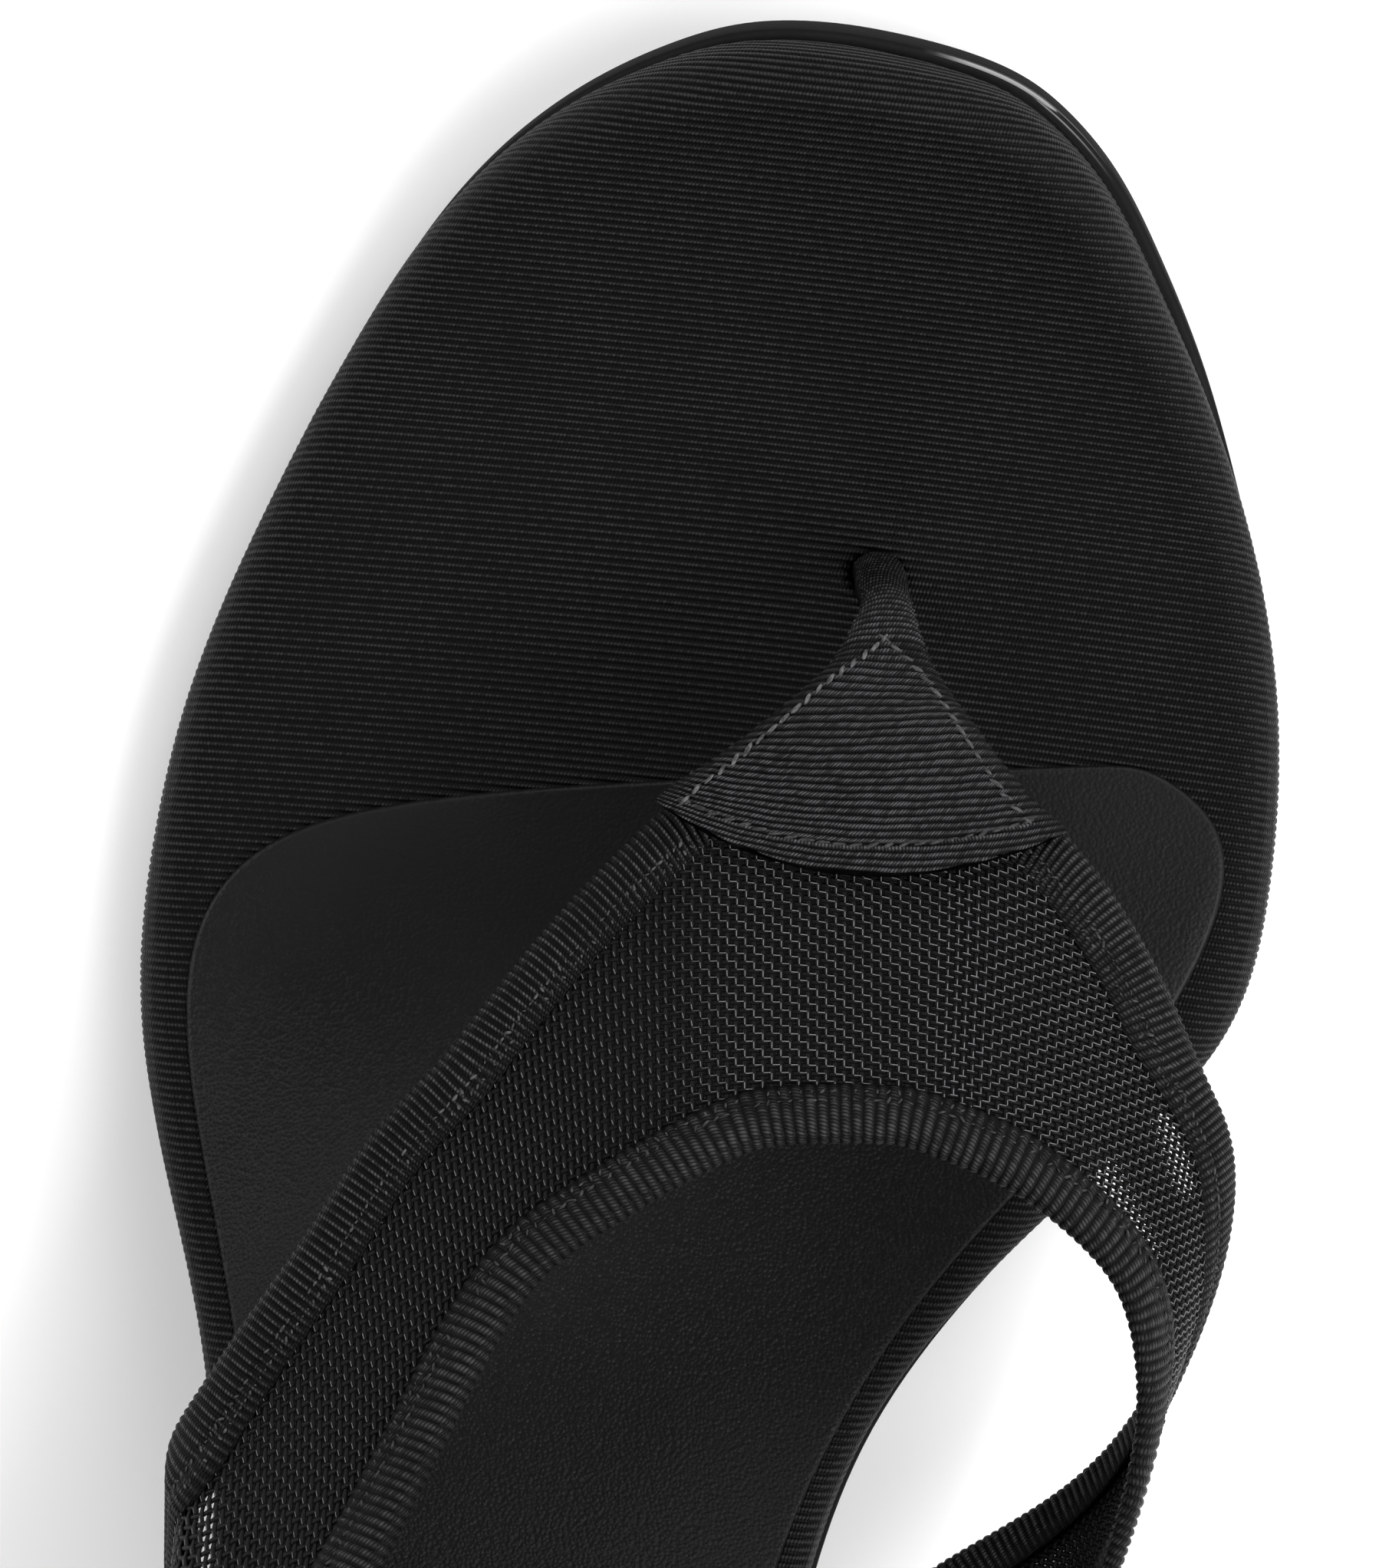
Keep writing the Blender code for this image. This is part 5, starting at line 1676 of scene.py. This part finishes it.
def build_stage(stage, colours):
    """Pale floor, four soft lights, a dim room and the camera above the toes."""
    scene = bpy.context.scene
    scene.view_settings.view_transform = "Standard"
    half = stage.floor_half
    corners = ((-half, -half), (half, -half), (half, half), (-half, half))
    mesh = bpy.data.meshes.new("studio_floor")
    mesh.from_pydata([(x, y, -FLOOR_DROP * MM) for x, y in corners], [], [(0, 1, 2, 3)])
    mesh.materials.append(floor_surface(colours.floor))
    floor = bpy.data.objects.new("studio_floor", mesh)
    scene.collection.objects.link(floor)
    target = Vector((*stage.camera_place[:2], 0.0))
    for name in ("key", "side", "toe", "heel"):
        place, size, power = (getattr(stage, f"{name}_{kind}") for kind in ("place", "size", "power"))
        add_light(name + "_light", place, size, power, target)
    world = bpy.data.worlds.new("studio")
    world.use_nodes = True
    sky = world.node_tree.nodes["Background"].inputs
    sky["Color"].default_value = (1.0, 1.0, 1.0, 1.0)
    sky["Strength"].default_value = stage.sky
    scene.world = world
    lens = bpy.data.cameras.new("photo_camera")
    lens.lens = stage.lens
    lens.clip_end = CAMERA_REACH
    camera = bpy.data.objects.new("photo_camera", lens)
    camera.location = stage.camera_place
    camera.rotation_euler = (0.0, 0.0, stage.camera_roll)
    scene.collection.objects.link(camera)
    scene.camera = camera


def length_property(label, note, value):
    """Length in metres, given in millimetres."""
    return FloatProperty(name=label, description=note, default=value * MM, unit="LENGTH", precision=5)


def power_property(label, note, value):
    """Power of a light in watts."""
    return FloatProperty(name=label, description=note, default=value, unit="POWER")


def colour_property(label, note, value):
    """Linear colour."""
    return FloatVectorProperty(
        name=label, description=note, default=value, subtype="COLOR", min=0.0, max=1.0
    )


def place_property(label, note, value):
    """Place in metres."""
    return FloatVectorProperty(
        name=label, description=note, default=value, subtype="TRANSLATION", unit="LENGTH"
    )


class SandalSizes(bpy.types.PropertyGroup):
    """Sizes of the cloth, mesh, tape and thread."""

    rib_pitch: length_property("Rib pitch", "Distance between the ribs of the footbed cloth", 0.6)
    rib_height: length_property("Rib height", "Height of the ribs of the footbed cloth", 0.12)
    yarn_pitch: length_property("Yarn pitch", "Distance between the yarns along a rib of the cloth", 0.28)
    tape_yarn: length_property("Tape yarn", "Distance between the yarns along a rib of the tape", 0.28)
    tab_yarn: length_property("Tab yarn", "Distance between the yarns along a rib of the tab", 0.26)
    warp_spacing: length_property("Warp spacing", "Distance between the warps of the mesh", 0.67)
    weft_spacing: length_property("Weft spacing", "Distance between the wefts of the mesh", 0.535)
    warp_width: length_property("Warp width", "Width of the warps", 0.53)
    weft_width: length_property("Weft width", "Width of the wefts", 0.42)
    ground_thickness: length_property("Yarn thickness", "Thickness of the dark yarns of the mesh", 0.16)
    float_width: length_property("Float width", "Thickness of the light floats of the mesh", 0.08)
    front_tape_pitch: length_property("Front tape pitch", "Distance between the front tape's ribs", 0.68)
    rear_tape_pitch: length_property("Rear tape pitch", "Distance between the rear tape's ribs", 0.8)
    tape_rib_height: length_property("Tape rib height", "Height of the ribs of the tape", 0.22)
    tab_rib_height: length_property("Tab rib height", "Height of the ribs of the tab", 0.26)
    tab_pitch: length_property("Tab pitch", "Distance between the ribs of the tab", 0.7)
    tab_stitch: length_property("Tab stitch", "Length of a stitch on the tab", 1.16)


class SandalColours(bpy.types.PropertyGroup):
    """Colours of the sandal and its floor."""

    cloth: colour_property("Cloth", "Dark of the ribbed cloth and tape", (0.001, 0.001, 0.0011))
    # Light colours of the footbed cloth, the tapes and the tab: painted highlights on the rib crests
    crest_highlight: colour_property("Cloth dots", "Light yarns of footbed and heel", (0.0215, 0.0215, 0.0222))
    tape: colour_property("Tape", "Light yarns on the ribs of the bindings", (0.052, 0.052, 0.054))
    tab: colour_property("Tab", "Light yarns on the ribs of the tab", (0.063, 0.063, 0.066))
    ground: colour_property("Mesh ground", "Dark yarns of the mesh", (0.004, 0.004, 0.0042))
    # Light colour of the mesh floats: a painted highlight on glossy yarns
    thread: colour_property("Mesh floats", "Light floats of the mesh", (0.15, 0.15, 0.155))
    leather: colour_property("Leather", "Sock leather", (0.0055, 0.0055, 0.0058))
    sole: colour_property("Sole", "Dressed sole", (0.016, 0.016, 0.016))
    rubber: colour_property("Rubber", "Heel top piece", (0.01, 0.01, 0.01))
    stitch: colour_property("Stitch", "Thread of the tab seams", (0.095, 0.095, 0.098))
    dark_stitch: colour_property("Tape stitch", "Thread of the tape seams", (0.06, 0.06, 0.062))
    floor: colour_property("Floor", "Studio floor", (0.92, 0.92, 0.92))


class StageSettings(bpy.types.PropertyGroup):
    """Camera, floor and lights."""

    camera_place: place_property("Camera", "Place of the camera above the toes", (-0.003, 0.06, 0.809))
    camera_roll: FloatProperty(
        name="Camera roll", description="Turn of the picture", default=math.radians(10.0), subtype="ANGLE"
    )
    lens: FloatProperty(name="Lens", description="Focal length", default=242.35, unit="CAMERA")
    floor_half: length_property("Floor", "Half width of the floor", 3000.0)
    key_place: place_property("Key light", "Place of the key light", (0.62, -0.12, 0.62))
    key_size: length_property("Key size", "Width of the key light", 800.0)
    key_power: power_property("Key power", "Power of the key light", 11.0)
    side_place: place_property("Side light", "Place of the light on the little-toe side", (-0.7, 0.2, 0.5))
    side_size: length_property("Side size", "Width of the side light", 900.0)
    side_power: power_property("Side power", "Power of the side light", 7.0)
    toe_place: place_property("Toe light", "Place of the light in front of the toe", (0.25, 0.82, 0.5))
    toe_size: length_property("Toe size", "Width of the toe light", 900.0)
    toe_power: power_property("Toe power", "Power of the toe light", 7.0)
    heel_place: place_property("Heel light", "Place of the light behind the heel", (0.1, -0.8, 0.6))
    heel_size: length_property("Heel size", "Width of the heel light", 900.0)
    heel_power: power_property("Heel power", "Power of the heel light", 7.0)
    sky: FloatProperty(name="Sky", description="Brightness of the room", default=0.03)


class SANDAL_OT_sole(bpy.types.Operator):
    """Makes the dressed outsole and the leather sock"""

    bl_idname = "sandal.sole"
    bl_label = "Outsole and sock"

    def execute(self, context):
        build_outsole(context.scene.sandal_colours)
        build_sock(context.scene.sandal_colours)
        return {"FINISHED"}


class SANDAL_OT_footbed(bpy.types.Operator):
    """Wraps the footbed in ribbed cloth"""

    bl_idname = "sandal.footbed"
    bl_label = "Footbed wrap"

    def execute(self, context):
        build_footbed(context.scene.sandal_sizes, context.scene.sandal_colours)
        return {"FINISHED"}


class SANDAL_OT_heel(bpy.types.Operator):
    """Wraps the heel in ribbed cloth and makes its rubber top piece"""

    bl_idname = "sandal.heel"
    bl_label = "Heel"

    def execute(self, context):
        build_heel(context.scene.sandal_sizes, context.scene.sandal_colours)
        build_heel_tip(context.scene.sandal_colours)
        return {"FINISHED"}


class SANDAL_OT_mesh(bpy.types.Operator):
    """Weaves the mesh of the strap from dark yarns and lays floats on it whose light colour is a painted
    highlight
    """

    bl_idname = "sandal.mesh"
    bl_label = "Mesh strap"

    def execute(self, context):
        net = MeshNet(context.scene.sandal_sizes)
        build_ground(net, context.scene.sandal_sizes, context.scene.sandal_colours)
        build_float_highlights(net, context.scene.sandal_sizes, context.scene.sandal_colours)
        return {"FINISHED"}


class SANDAL_OT_bindings(bpy.types.Operator):
    """Folds ribbed tape over the edges of the strap and stitches it"""

    bl_idname = "sandal.bindings"
    bl_label = "Bindings"

    def execute(self, context):
        build_bindings(context.scene.sandal_sizes, context.scene.sandal_colours)
        return {"FINISHED"}


class SANDAL_OT_tab(bpy.types.Operator):
    """Makes the ribbed tab with its rolled toe post and seams"""

    bl_idname = "sandal.tab"
    bl_label = "Toe tab"

    def execute(self, context):
        build_tab(context.scene.sandal_sizes, context.scene.sandal_colours)
        return {"FINISHED"}


class SANDAL_OT_stage(bpy.types.Operator):
    """Sets the floor, the lights and the camera"""

    bl_idname = "sandal.stage"
    bl_label = "Stage"

    def execute(self, context):
        build_stage(context.scene.sandal_stage, context.scene.sandal_colours)
        return {"FINISHED"}


class SANDAL_PT_panel(bpy.types.Panel):
    """Lists the pieces of the sandal"""

    bl_idname = "SANDAL_PT_panel"
    bl_label = "Sandal"
    bl_space_type = "VIEW_3D"
    bl_region_type = "UI"
    bl_category = "Sandal"

    def draw(self, context):
        for step in STEPS:
            self.layout.operator(step.bl_idname)


STEPS = (
    SANDAL_OT_stage,
    SANDAL_OT_sole,
    SANDAL_OT_footbed,
    SANDAL_OT_heel,
    SANDAL_OT_mesh,
    SANDAL_OT_bindings,
    SANDAL_OT_tab,
)
GROUPS = {"sandal_sizes": SandalSizes, "sandal_colours": SandalColours, "sandal_stage": StageSettings}


def register():
    """Registers the settings, the operators and the panel."""
    for made in (*GROUPS.values(), *STEPS, SANDAL_PT_panel):
        bpy.utils.register_class(made)
    for name, group in GROUPS.items():
        setattr(bpy.types.Scene, name, PointerProperty(type=group))


def unregister():
    """Takes the settings, the operators and the panel away again."""
    for name in GROUPS:
        delattr(bpy.types.Scene, name)
    for made in (SANDAL_PT_panel, *reversed(STEPS), *GROUPS.values()):
        bpy.utils.unregister_class(made)


def main():
    register()
    bpy.ops.sandal.stage()
    bpy.ops.sandal.sole()
    bpy.ops.sandal.footbed()
    bpy.ops.sandal.heel()
    bpy.ops.sandal.mesh()
    bpy.ops.sandal.bindings()
    bpy.ops.sandal.tab()


if __name__ == "__main__":
    main()
